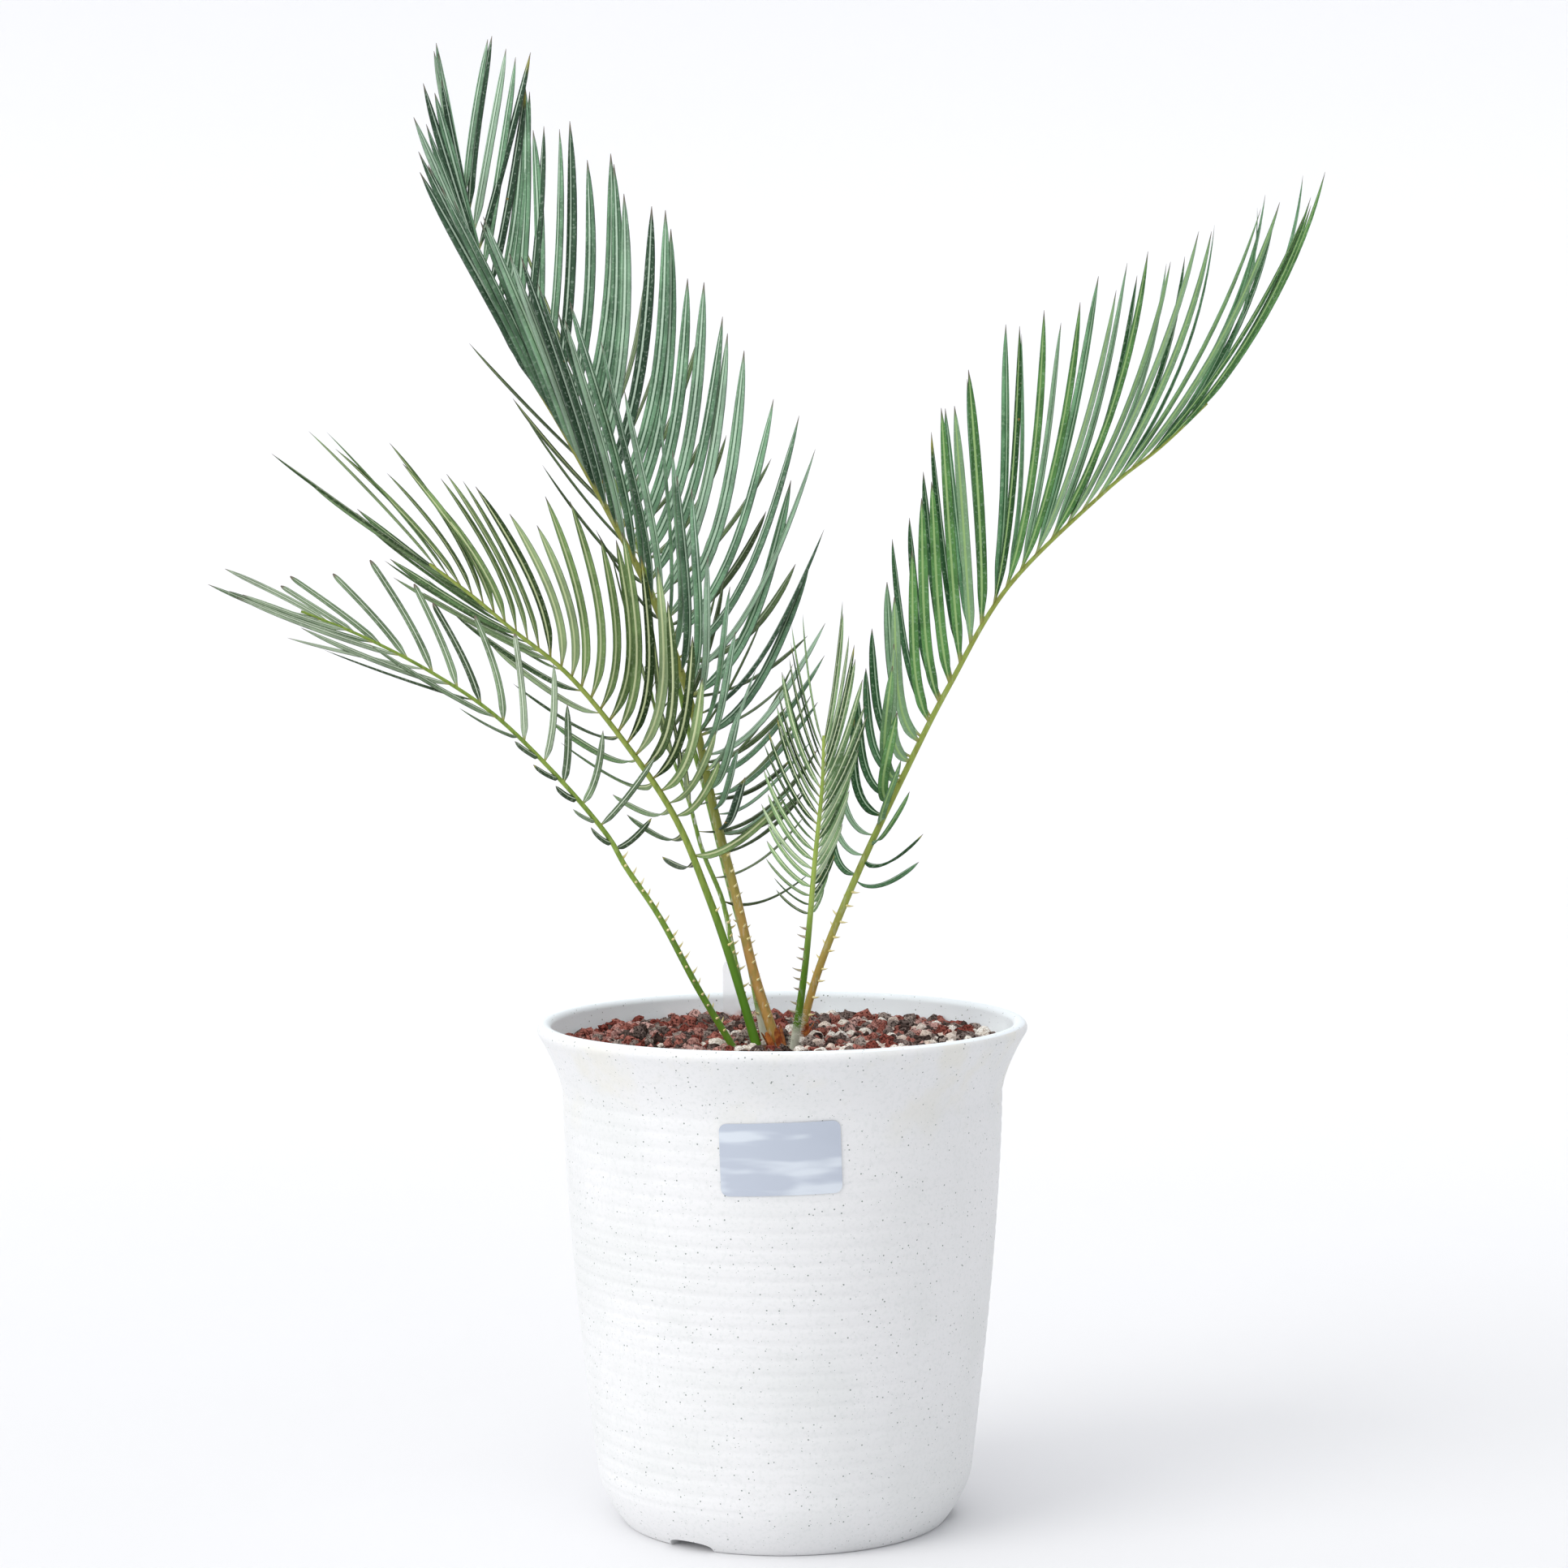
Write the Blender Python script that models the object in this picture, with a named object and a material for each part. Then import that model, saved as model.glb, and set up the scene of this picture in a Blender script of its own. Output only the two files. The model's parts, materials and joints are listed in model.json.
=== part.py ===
"""Potted cycad: seven keeled fronds on a buried stem, in a tall flared plastic pot of lava grit.

Lengths are written in millimetres and scaled to metres when a mesh is made. While the pieces are
modelled, the pot's axis is the Z axis, the pot stands on z = 0, +X is the photo's right and -Y its
front. At the end the whole plant is moved so that its bounding box is centred on the origin.
"""
import random
from math import cos, floor, hypot, pi, radians, sin, sqrt, tau

import bmesh
import bpy
from mathutils import Matrix, Vector
from mathutils.kdtree import KDTree

MM = 0.001
GAP = 0.3                    # clearance between two pieces that touch
SEGMENTS = 32                # facets round the pot, the soil and the label
SHARP = radians(45.0)        # edges that bend more than this are shaded sharp

# Pot
POT_HEIGHT = 276.0
RIM_RADIUS = 135.0           # outside of the lip, at its widest
FOOT_RADIUS = 89.5
BULGE_RADIUS = 104.0         # where the round bottom meets the wall
BULGE_HEIGHT = 30.0
NECK_RADIUS = 121.3          # top of the wall, under the flare
NECK_HEIGHT = 237.0
LIP_HEIGHT = 268.0           # underside of the lip
LIP_OVERHANG = 1.8           # the lip stands out this far past the flare
LIP_OUTSIDE = [(-0.5, 0.6), (0.0, 3.6), (-1.4, 6.8), (-4.2, 8.0)]   # out from the rim, up from its underside
LIP_INSIDE = [(1.2, 7.2), (0.0, 4.8)]
BULGE_POWER = 1.6
WALL_POWER = 1.5
OUTER_HEIGHTS = [0, 8, 18, 30, 70, 130, 190, 237, 250, 260, 268]
INNER_HEIGHTS = [268, 260, 250, 237, 160, 80, 30]
WALL = 4.5
LIP_WALL = 6.0
FLOOR_UNDER = 6.0            # the floor's underside stands this far above the foot
FLOOR_TOP = 11.0
FOOT_INNER_RADIUS = 80.0
FOOT_SLOPE = 1.5             # the foot ring's inner face leans in by this much
CORNER_SLOPE = 6.0           # the inside corner between wall and floor is cut off by this much
NOTCHES = 3                  # drainage notches through the foot
NOTCH_TURN = radians(-124.0)
NOTCH_WIDTH = 28.0
NOTCH_HEIGHT = 5.0
ARCH_STEPS = 6
DRAINS = 4
DRAIN_SIDES = 12
DRAIN_RADIUS = 5.0
DRAIN_CIRCLE = 48.0

# Grit
SOIL_AT_WALL = 263.5          # mean height of the loose grains at the wall
SOIL_MOUND = 3.5             # the middle stands this much higher
SOIL_RELIEF = 3.4            # height of the lumps that the grains lie in
SOIL_LUMP = 0.24             # lumps lie about pi over this far apart
SOIL_EDGE = 6.0              # the lumps die out over one part in this many of the radius
SOIL_RINGS = 10

# Stem, hidden in the grit up to its crown
STEM_CENTRE = Vector((-6.0, -31.0, 0.0))
STEM_RADIUS = 31.0
STEM_FOOT = 196.0
STEM_SHOULDER = 250.0
STEM_TOP = 266.5
STEM_SIDES = 18
STEM_BARREL = [(0.72, STEM_FOOT), (1.0, STEM_FOOT + 14), (1.0, STEM_SHOULDER)]
STEM_CROWN = [(0.9, STEM_SHOULDER + 8), (0.62, STEM_TOP - 2), (0.3, STEM_TOP)]
SOCKET_SIDES = 7
SOCKET_DEPTH = 16.0          # how far each leaf stalk stands in its hole in the stem

# Plant tag
TAG_CENTRE = Vector((-29.0, 98.0, 0.0))
TAG_WIDTH = 10.5
TAG_THICK = 1.0
TAG_FOOT = 232.0
TAG_TOP = 299.0
TAG_POINT = 9.0              # height of its pointed foot
TAG_STEPS = 8

# Blank label on the front of the pot
LABEL_BOTTOM = 197.5
LABEL_TOP = 238.0
LABEL_LEFT = -32.5
LABEL_RIGHT = 34.0
LABEL_THICK = 0.6
LABEL_CORNER = 4.0
LABEL_CORNER_STEPS = 3

# Fronds
TUBE_START = Vector((0.31, 1.0, 0.17))       # no tube runs along this direction
STALK_SIDES = 5
STALK_STEP = 36.0            # length of one straight facet of a stalk
CURVE_STEPS = 24             # points between two points of a stalk's route
LOOK = 2.0                   # a stalk's direction is read over twice this length
STALK_TAPER = 0.8
TRACE_STEPS = 40             # points along a leaflet's midline
BLADE_KEEL = 1.2             # how far the midrib stands out under the blade
LONG_BEND = 0.35             # leaflets below this share of the frond bend most, and get a station more
BENT_STATIONS = [(0.0, 0.34), (0.15, 0.9), (0.38, 1.0), (0.72, 0.7)]
STRAIGHT_STATIONS = [(0.0, 0.34), (0.2, 1.0), (0.62, 0.76)]
WIDTH_ALONG = (0.9, 1.0, 1.0, 0.92, 0.66)    # a leaflet's width, from the lowest to the tip's
TILT_SPREAD = 4.0
CANT_SPREAD = 18.0
CLEAR = 8.2                  # least distance between midlines of leaflets on two fronds
STALK_POINTS = 3             # spacing of the points that a stalk is kept clear by
BENDS = [(lift, trim) for trim in (1.0, 0.85, 0.7, 0.5) for lift in (0, 8, -8, 16, -16, 24, -24, 34)]
SPINE_LENGTH = 4.2
SPINE_RADIUS = 0.8
SPINE_ROOT = 1.2             # a spine starts this far inside its stalk
SCALE_LENGTH = 13.0          # dry scales round the foot of some stalks
SCALE_WIDTH = 5.5
SCALE_FOOT = 4.0
SCALE_BULGE = 2.6
SCALE_THICK = 2.0


def both(*profile):
    """The same profile for a frond's two sides."""
    return profile, profile


# Each frond: its heading on the compass (0 is +X, 90 is +Y), the route of its stalk, the length of
# bare stalk, and profiles read from the lowest leaflet to the tip. "leave" and "end" are a leaflet's
# angles to the stalk at its root and tip, "rise" its lift out of the frond's flat, "roll" the turn
# of the frond about its stalk, "hook" how soon it has bent, "cant" how far its blade faces the tip.
# A pair of profiles is for the two sides, first the one at heading - 90. "ragged" is the spread of
# the lengths and "wander" that of the angles in degrees. "lost" keeps one leaflet in so many on a
# side, below a share of the frond. "spines" holds the first and last place of the spines and
# their spacing.
FRONDS = [
    dict(name="frond_right", heading=10, seed=1, pairs=28, bare=94, roll=(0,), stalk=(2.4, 0.8),
         route=[(9, -14, 266), (21, -12, 307), (43, -9, 360), (71, -4, 418), (93, 0, 460),
                (126, 7, 514), (179, 16, 565), (211, 22, 590), (237, 26, 614)],
         leave=both(112, 112, 108, 62, 40, 30, 24, 19, 14, 9, 6),
         end=((30, 24, 36, 38, 42, 44, 42, 42, 46), (30, 30, 31, 33, 36, 40, 41, 42, 46)),
         hook=(3, 4, 4, 3, 1.8, 1.2, 1.1, 1.1),
         rise=((-90, 5, 45, 60, 62, 62, 62, 62, 62, 62, 60, 56, 52, 50), (62, 62, 62, 60, 50)),
         size=((38, 46, 80, 112, 138, 150, 156, 158, 160, 155, 150), (40, 76, 138, 158, 160, 150)),
         cant=((70, 20, 8, -15, -21, -16), (65, 47, 53, 68, 78, 84)), width=6.0, ragged=0.09,
         wander=4, spines=(14, 92, 13.0)),
    dict(name="frond_small", heading=-60, seed=5, pairs=20, bare=79, roll=(0,), stalk=(2.4, 0.8),
         route=[(6, -43, 264), (12, -54, 307), (15, -59, 335), (18, -63, 369), (22, -67, 408),
                (23, -69, 436)],
         leave=both(85, 66, 50, 34, 14), end=both(50, 35, 27, 16, 2), hook=(2,),
         rise=((44, 44, 44, 46), (38, 34, 26, 18, 18)), size=both(22, 44, 58, 64, 76),
         cant=((47, 46, 44), (-23, -22, -18, -10)), width=4.2, ragged=0.06, wander=3,
         spines=(22, 76, 9.0), scales=2),
    dict(name="frond_tall", heading=165, seed=2, pairs=36, bare=122, roll=(-15, -30, -38, -36),
         stalk=(3.1, 0.9),
         route=[(-2, -37, 264), (-15, -33, 305), (-25, -30, 349), (-36, -27, 393), (-50, -24, 457),
                (-72, -18, 515), (-115, -6, 596), (-141, 1, 640), (-159, 6, 680), (-168, 8, 716),
                (-173, 9, 740)],
         leave=both(105, 82, 62, 55, 46, 34, 12), end=both(58, 35, 31, 31, 30, 27, 24),
         hook=(4, 3, 2, 1.6, 1.4),
         rise=((50, 50, 50, 45), (55, 62, 66, 66, 62, 58, 57, 58)),
         size=((55, 140, 160, 155, 128, 78), (55, 130, 150, 145, 118, 74)),
         cant=((80, 74, 55, 25, 5, 10, 10, 15, 20, 25, 30), (-72, -50, -52, -64, -62, -54)),
         width=7.0, ragged=0.08, wander=4.5, spines=(20, 118, 17.0), scales=4),
    dict(name="frond_left", heading=172, seed=3, pairs=28, bare=110, roll=(45,), stalk=(2.7, 0.8),
         route=[(-13, -40, 264), (-27, -38, 311), (-40, -36, 349), (-57, -34, 390),
                (-82, -31, 428), (-114, -26, 467), (-146, -21, 493), (-166, -19, 510),
                (-190, -15, 528)],
         leave=((115, 90, 56, 32, 16), (115, 90, 60, 40, 14)),
         end=((75, 50, 26, 13, 5), (75, 42, 25, 14, 4)),
         hook=(3, 2.5, 2),
         rise=((20, 14, 14, 22, 28), (40,)),
         size=((70, 100, 104, 100, 108), (62, 100, 106, 92, 88, 108)),
         cant=((80, 53, 44, 41, 37, 35), (53, 54, 56, 62, 72, 78)), width=5.8, ragged=0.14,
         wander=5, lost=(-1, 0.6, 2), spines=(60, 100, 20.0)),
    dict(name="frond_low", heading=196, seed=4, pairs=14, bare=130, roll=(-40,), stalk=(2.0, 0.7),
         route=[(-25, -44, 264), (-46, -50, 301), (-65, -55, 338), (-83, -60, 366),
                (-93, -64, 384), (-118, -72, 415), (-150, -80, 448), (-182, -89, 471),
                (-216, -99, 490), (-248, -108, 504)],
         leave=((110, 80, 62, 48, 40, 20, 10), (58, 42, 36, 30, 14)),
         end=((90, 60, 44, 36, 28, 9, 5), (20, 19, 21, 17, 6)), hook=(2,),
         rise=((18,), (-10, 6, 6, 10)),
         size=((36, 50, 56, 62, 60, 50, 50), (16, 20, 22, 96, 92, 78, 56)),
         cant=((55, 40, 25, 40), (17, 8, 1, 4, 3, 1)), width=5.2, ragged=0.2, wander=9,
         spines=(14, 126, 16.0)),
    dict(name="frond_inner", heading=150, seed=6, pairs=10, bare=82, roll=(0,), stalk=(1.8, 0.8),
         route=[(-15, -26, 264), (-26, -20, 313), (-32, -16, 343), (-43, -10, 370),
                (-50, -6, 396), (-56, -2, 412), (-64, 2, 433), (-69, 5, 448), (-74, 8, 471)],
         leave=both(114, 100, 66, 30), end=both(66, 52, 40, 20), hook=(2,),
         rise=both(30), size=both(60, 100, 100, 80),
         cant=((74, 76, 81, 86, 91, 98), (65, 38, 29, 21, 18, 18)), width=5.6, ragged=0.16,
         wander=8, spines=(16, 78, 16.0)),
    dict(name="frond_back", heading=140, seed=7, pairs=14, bare=122, roll=(0,), stalk=(2.2, 0.8),
         route=[(-9, -15, 264), (-19, -6, 315), (-28, 2, 348), (-42, 14, 403), (-51, 20, 435),
                (-61, 28, 480), (-77, 40, 529), (-96, 56, 584), (-113, 71, 635)],
         leave=both(112, 95, 62, 30), end=both(66, 54, 40, 20), hook=(2,),
         rise=both(30), size=both(60, 105, 115, 80),
         cant=((70, 73, 73, 74, 78, 83), (80, 56, 39, 28, 25, 24)), width=6.0, ragged=0.14,
         wander=7, spines=(18, 116, 19.0)),
]

COLOURS = {
    "pot": (0.80, 0.81, 0.83),
    "soil": (0.14, 0.06, 0.05),
    "stem": (0.16, 0.09, 0.05),
    "plant_tag": (0.88, 0.88, 0.90),
    "label": (0.62, 0.67, 0.74),
    "frond": (0.16, 0.30, 0.22),
}


def material(name, colour, roughness=0.55):
    """A plain Principled material of one colour."""
    found = bpy.data.materials.get(name)
    if found:
        return found
    made = bpy.data.materials.new(name)
    made.use_nodes = True
    shader = made.node_tree.nodes["Principled BSDF"]
    shader.inputs["Base Color"].default_value = (*colour, 1.0)
    shader.inputs["Roughness"].default_value = roughness
    return made


def solid(name, points, faces, finish=None):
    """An object made of millimetre points, with its faces turned outwards."""
    mesh = bpy.data.meshes.new(name)
    mesh.from_pydata([Vector(p) * MM for p in points], [], faces)
    shape = bmesh.new()
    shape.from_mesh(mesh)
    bmesh.ops.recalc_face_normals(shape, faces=shape.faces)
    shape.to_mesh(mesh)
    shape.free()
    made = bpy.data.objects.new(name, mesh)
    bpy.context.scene.collection.objects.link(made)
    if finish:
        mesh.materials.append(finish)
    return made


def smooth(made):
    """Shade an object smooth, with its sharp edges kept."""
    made.data.shade_smooth()
    made.data.set_sharp_from_angle(angle=SHARP)


def apply_boolean(target, operation, operand=None, collection=None, solver="EXACT"):
    """Cut, cross or join a target with one object or a collection, and drop what was used."""
    modifier = target.modifiers.new("shape", "BOOLEAN")
    modifier.operation = operation
    modifier.solver = solver
    if collection:
        modifier.operand_type = "COLLECTION"
        modifier.collection = collection
    else:
        modifier.object = operand
    depsgraph = bpy.context.evaluated_depsgraph_get()
    mesh = bpy.data.meshes.new_from_object(target.evaluated_get(depsgraph))
    target.modifiers.clear()
    target.data = mesh
    used = list(collection.objects) if collection else [operand]
    for piece in used:
        bpy.data.objects.remove(piece)
    if collection:
        bpy.data.collections.remove(collection)


# Turned shapes

def turned(name, profile, finish=None):
    """Turn a closed profile of (radius, height) points, with both ends on the axis, about Z."""
    points = []
    rings = []
    for radius, height in profile:
        if radius == 0:
            rings.append([len(points)] * SEGMENTS)
            points.append((0, 0, height))
            continue
        rings.append(list(range(len(points), len(points) + SEGMENTS)))
        for k in range(SEGMENTS):
            turn = tau * k / SEGMENTS
            points.append((radius * cos(turn), radius * sin(turn), height))
    faces = []
    for lower, upper in zip(rings, rings[1:]):
        for k in range(SEGMENTS):
            near = (k + 1) % SEGMENTS
            corners = [lower[k], lower[near], upper[near], upper[k]]
            faces.append(list(dict.fromkeys(corners)))
    return solid(name, points, faces, finish)


def pot_radius(height):
    """The pot's outside radius under the lip: round bottom, slightly convex wall, then flare."""
    if height < BULGE_HEIGHT:
        drop = 1 - height / BULGE_HEIGHT
        return BULGE_RADIUS - (BULGE_RADIUS - FOOT_RADIUS) * drop ** BULGE_POWER
    if height < NECK_HEIGHT:
        left = (NECK_HEIGHT - height) / (NECK_HEIGHT - BULGE_HEIGHT)
        return NECK_RADIUS - (NECK_RADIUS - BULGE_RADIUS) * left ** WALL_POWER
    flare = (height - NECK_HEIGHT) / (LIP_HEIGHT - NECK_HEIGHT)
    return NECK_RADIUS + (RIM_RADIUS - LIP_OVERHANG - NECK_RADIUS) * flare ** WALL_POWER


def lip_profile():
    """The rolled lip, from its lower outer edge over the top to the inner wall."""
    inside = pot_radius(LIP_HEIGHT) - LIP_WALL
    return ([(RIM_RADIUS + out, LIP_HEIGHT + up) for out, up in LIP_OUTSIDE]
            + [(inside + out, LIP_HEIGHT + up) for out, up in LIP_INSIDE])


def inner_profile(clearance=0.0):
    """The pot's inner wall from the lip down to the floor, taken in by a clearance."""
    walls = [(pot_radius(z) - WALL - clearance, z) for z in INNER_HEIGHTS]
    corner = FLOOR_TOP + clearance
    reach = pot_radius(FLOOR_TOP) - WALL - clearance
    return walls + [(reach - CORNER_SLOPE / 3, corner + CORNER_SLOPE / 2),
                    (reach - CORNER_SLOPE, corner), (0, corner)]


def make_pot():
    """The turned pot with its foot notches and drain holes."""
    outer = [(pot_radius(z), z) for z in OUTER_HEIGHTS]
    foot = [(0, FLOOR_UNDER), (FOOT_INNER_RADIUS - FOOT_SLOPE, FLOOR_UNDER), (FOOT_INNER_RADIUS, 0)]
    finish = material("speckled_plastic", COLOURS["pot"])
    pot = turned("pot", foot + outer + lip_profile() + inner_profile(), finish)
    for k in range(NOTCHES):
        apply_boolean(pot, "DIFFERENCE", notch_cutter(NOTCH_TURN + tau * k / NOTCHES))
    for k in range(DRAINS):
        apply_boolean(pot, "DIFFERENCE", drain_cutter(tau * (k + 0.5) / DRAINS))
    smooth(pot)


def notch_cutter(turn):
    """A low arch that runs out through the foot ring."""
    arch = [(NOTCH_WIDTH / 2 * cos(pi * k / ARCH_STEPS),
             NOTCH_HEIGHT * sqrt(sin(pi * k / ARCH_STEPS))) for k in range(ARCH_STEPS)]
    below = -NOTCH_HEIGHT / 2
    arch = [(NOTCH_WIDTH / 2, below)] + arch + [(-NOTCH_WIDTH / 2, 0.0), (-NOTCH_WIDTH / 2, below)]
    near, far = FOOT_INNER_RADIUS - NOTCH_HEIGHT, BULGE_RADIUS
    points = [(near, across, up) for across, up in arch] + [(far, across, up) for across, up in arch]
    count = len(arch)
    faces = [list(range(count)), list(range(count, 2 * count))]
    faces += [(k, (k + 1) % count, (k + 1) % count + count, k + count) for k in range(count)]
    spin = Matrix.Rotation(turn, 3, "Z")
    return solid("notch", [spin @ Vector(p) for p in points], faces)


def drain_cutter(turn):
    """A round hole through the pot's floor."""
    centre = Vector((DRAIN_CIRCLE * cos(turn), DRAIN_CIRCLE * sin(turn), 0))
    axis = [centre, centre + Vector((0, 0, FLOOR_TOP + FLOOR_UNDER))]
    return tube("drain", axis, [DRAIN_RADIUS, DRAIN_RADIUS], DRAIN_SIDES)


def tube(name, path, radii, sides, finish=None):
    """A closed tube along a path of points, with flat ends."""
    points = []
    for k, centre in enumerate(path):
        ahead = path[min(k + 1, len(path) - 1)] - path[max(k - 1, 0)]
        across = ahead.cross(TUBE_START).normalized()
        up = ahead.cross(across).normalized()
        for s in range(sides):
            turn = tau * s / sides
            points.append(centre + (across * cos(turn) + up * sin(turn)) * radii[k])
    faces = [list(range(sides)), list(range(len(points) - sides, len(points)))]
    for ring in range(len(path) - 1):
        for s in range(sides):
            near = (s + 1) % sides
            faces.append((ring * sides + s, ring * sides + near,
                          (ring + 1) * sides + near, (ring + 1) * sides + s))
    return solid(name, points, faces, finish)


def grit_height(x, y):
    """The grit's surface: a slight mound with lumps, flat at the wall."""
    radius = hypot(x, y)
    mound = SOIL_MOUND * (1 - (radius / NECK_RADIUS) ** 2)
    large = sin(SOIL_LUMP * x + 1.3) * sin(SOIL_LUMP * y)
    small = sin(SOIL_LUMP * (2 * y + x)) * sin(SOIL_LUMP * 2 * x + 2)
    edge = min(1.0, max(0.0, 1 - radius / NECK_RADIUS) * SOIL_EDGE)
    return SOIL_AT_WALL + mound + SOIL_RELIEF / 2 * (large + small / 2) * edge


def make_soil():
    """The grit that fills the pot, with holes for the stem and the tag."""
    wall = [point for point in inner_profile(GAP) if point[0] and point[1] < SOIL_AT_WALL - WALL / 2]
    top_radius = pot_radius(SOIL_AT_WALL) - WALL - 2 * GAP
    side = [(0, FLOOR_TOP + GAP)] + wall[::-1] + [(top_radius, SOIL_AT_WALL)]
    rings = [top_radius * (1 - k / SOIL_RINGS) for k in range(1, SOIL_RINGS)]
    soil = turned("soil", side + [(r, SOIL_AT_WALL) for r in rings] + [(0, SOIL_AT_WALL)],
                  material("lava_grit", COLOURS["soil"], 0.95))
    for vertex in soil.data.vertices:
        x, y, z = vertex.co / MM
        if z > SOIL_AT_WALL - GAP and hypot(x, y) < top_radius - GAP:
            vertex.co.z = grit_height(x, y) * MM
    apply_boolean(soil, "DIFFERENCE", stem_shape("stem_room", GAP))
    apply_boolean(soil, "DIFFERENCE", tag_shape("tag_room", GAP))
    smooth(soil)


# Stem

def stem_shape(name, clearance=0.0, finish=None):
    """The stem's barrel with a domed crown; with a clearance it is the room that it stands in."""
    wide = STEM_RADIUS + clearance
    path = STEM_BARREL + ([(1.0, POT_HEIGHT)] if clearance else STEM_CROWN)
    path[0] = (path[0][0], STEM_FOOT - clearance)
    axis = [STEM_CENTRE + Vector((0, 0, height)) for _, height in path]
    return tube(name, axis, [share * wide for share, _ in path], STEM_SIDES, finish)


def make_stem():
    """The buried stem, with one plain hole for each leaf stalk."""
    stem = stem_shape("stem", 0.0, material("stem_bark", COLOURS["stem"], 0.9))
    for frond in FRONDS:
        foot, ahead = stalk_foot(frond)
        path = [foot - Vector((0, 0, SOCKET_DEPTH + GAP)), foot, foot + ahead * SOCKET_DEPTH]
        radii = [frond["stalk"][0] + 2 * GAP] * len(path)
        apply_boolean(stem, "DIFFERENCE", tube("socket", path, radii, SOCKET_SIDES))
    smooth(stem)


def stalk_foot(frond):
    """Where a stalk leaves the crown, and its direction there."""
    first, second = (Vector(p) for p in frond["route"][:2])
    return first, (second - first).normalized()


# Tag and label

def tag_shape(name, clearance=0.0, finish=None):
    """An upright tag with a rounded top and a pointed foot."""
    half = TAG_WIDTH / 2 + clearance
    shoulder = TAG_TOP - TAG_WIDTH / 2
    outline = [(0, TAG_FOOT - clearance), (half, TAG_FOOT + TAG_POINT), (half, shoulder)]
    outline += [(half * cos(pi * k / TAG_STEPS), shoulder + half * sin(pi * k / TAG_STEPS))
                for k in range(1, TAG_STEPS)]
    outline += [(-half, shoulder), (-half, TAG_FOOT + TAG_POINT)]
    thick = TAG_THICK / 2 + clearance
    points = [(x, -thick, z) for x, z in outline] + [(x, thick, z) for x, z in outline]
    count = len(outline)
    faces = [list(range(count)), list(range(count, 2 * count))]
    faces += [(k, (k + 1) % count, (k + 1) % count + count, k + count) for k in range(count)]
    return solid(name, [TAG_CENTRE + Vector(p) for p in points], faces, finish)


def make_label():
    """A thin label that follows the pot's facets, cut from a shell round the wall."""
    heights = [LABEL_BOTTOM - LABEL_CORNER, NECK_HEIGHT, LABEL_TOP + LABEL_CORNER]
    inner = [(pot_radius(z) + GAP, z) for z in heights]
    outer = [(pot_radius(z) + GAP + LABEL_THICK, z) for z in heights]
    shell = turned("label", [(0, heights[0])] + outer + [(0, heights[-1])],
                   material("silver_label", COLOURS["label"], 0.3))
    core = turned("core", [(0, heights[0] - 1)] + inner + [(0, heights[-1] + 1)])
    apply_boolean(shell, "DIFFERENCE", core)
    apply_boolean(shell, "INTERSECT", label_block())
    smooth(shell)


def label_block():
    """A block with rounded corners, as seen from the front, that picks out the label."""
    corners = [(LABEL_RIGHT, LABEL_TOP, 0), (LABEL_LEFT, LABEL_TOP, 1),
               (LABEL_LEFT, LABEL_BOTTOM, 2), (LABEL_RIGHT, LABEL_BOTTOM, 3)]
    outline = []
    for x, z, quarter in corners:
        inward_x = -LABEL_CORNER if x > 0 else LABEL_CORNER
        inward_z = -LABEL_CORNER if z == LABEL_TOP else LABEL_CORNER
        for k in range(LABEL_CORNER_STEPS + 1):
            turn = pi / 2 * (quarter + k / LABEL_CORNER_STEPS)
            outline.append((x + inward_x + LABEL_CORNER * cos(turn),
                            z + inward_z + LABEL_CORNER * sin(turn)))
    count = len(outline)
    back = -NECK_RADIUS / 2
    points = [(x, -RIM_RADIUS, z) for x, z in outline] + [(x, back, z) for x, z in outline]
    faces = [list(range(count)), list(range(count, 2 * count))]
    faces += [(k, (k + 1) % count, (k + 1) % count + count, k + count) for k in range(count)]
    return solid("block", points, faces)


# Fronds

def read(profile, share):
    """A profile's value at a share of the way along it, between its evenly spaced values."""
    if len(profile) == 1:
        return profile[0]
    place = min(max(share, 0.0), 1.0) * (len(profile) - 1)
    low = min(floor(place), len(profile) - 2)
    return profile[low] + (profile[low + 1] - profile[low]) * (place - low)


class Stalk:
    """A frond's stalk: a smooth curve through its route, read by distance from the crown."""

    def __init__(self, frond):
        self.frond = frond
        self.points = curve_through([Vector(p) for p in frond["route"]], CURVE_STEPS)
        self.reach = [0.0]
        for a, b in zip(self.points, self.points[1:]):
            self.reach.append(self.reach[-1] + (b - a).length)
        self.length = self.reach[-1]

    def at(self, distance):
        """The stalk's centre at a distance from the crown."""
        distance = min(max(distance, 0.0), self.length)
        low = 0
        while low < len(self.reach) - 2 and self.reach[low + 1] < distance:
            low += 1
        span = self.reach[low + 1] - self.reach[low]
        return self.points[low].lerp(self.points[low + 1], (distance - self.reach[low]) / span)

    def radius(self, distance):
        """The stalk's thickness there."""
        thick, thin = self.frond["stalk"]
        return thick + (thin - thick) * (distance / self.length) ** STALK_TAPER

    def frame(self, distance, share):
        """The stalk's direction, its left side and its upper face, turned by the frond's roll."""
        ahead = (self.at(distance + LOOK) - self.at(distance - LOOK)).normalized()
        heading = radians(self.frond["heading"])
        level = Vector((-sin(heading), cos(heading), 0))
        side = (level - ahead * level.dot(ahead)).normalized()
        upper = ahead.cross(side)
        roll = radians(read(self.frond["roll"], share))
        return ahead, side * cos(roll) + upper * sin(roll), upper * cos(roll) - side * sin(roll)


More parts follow.
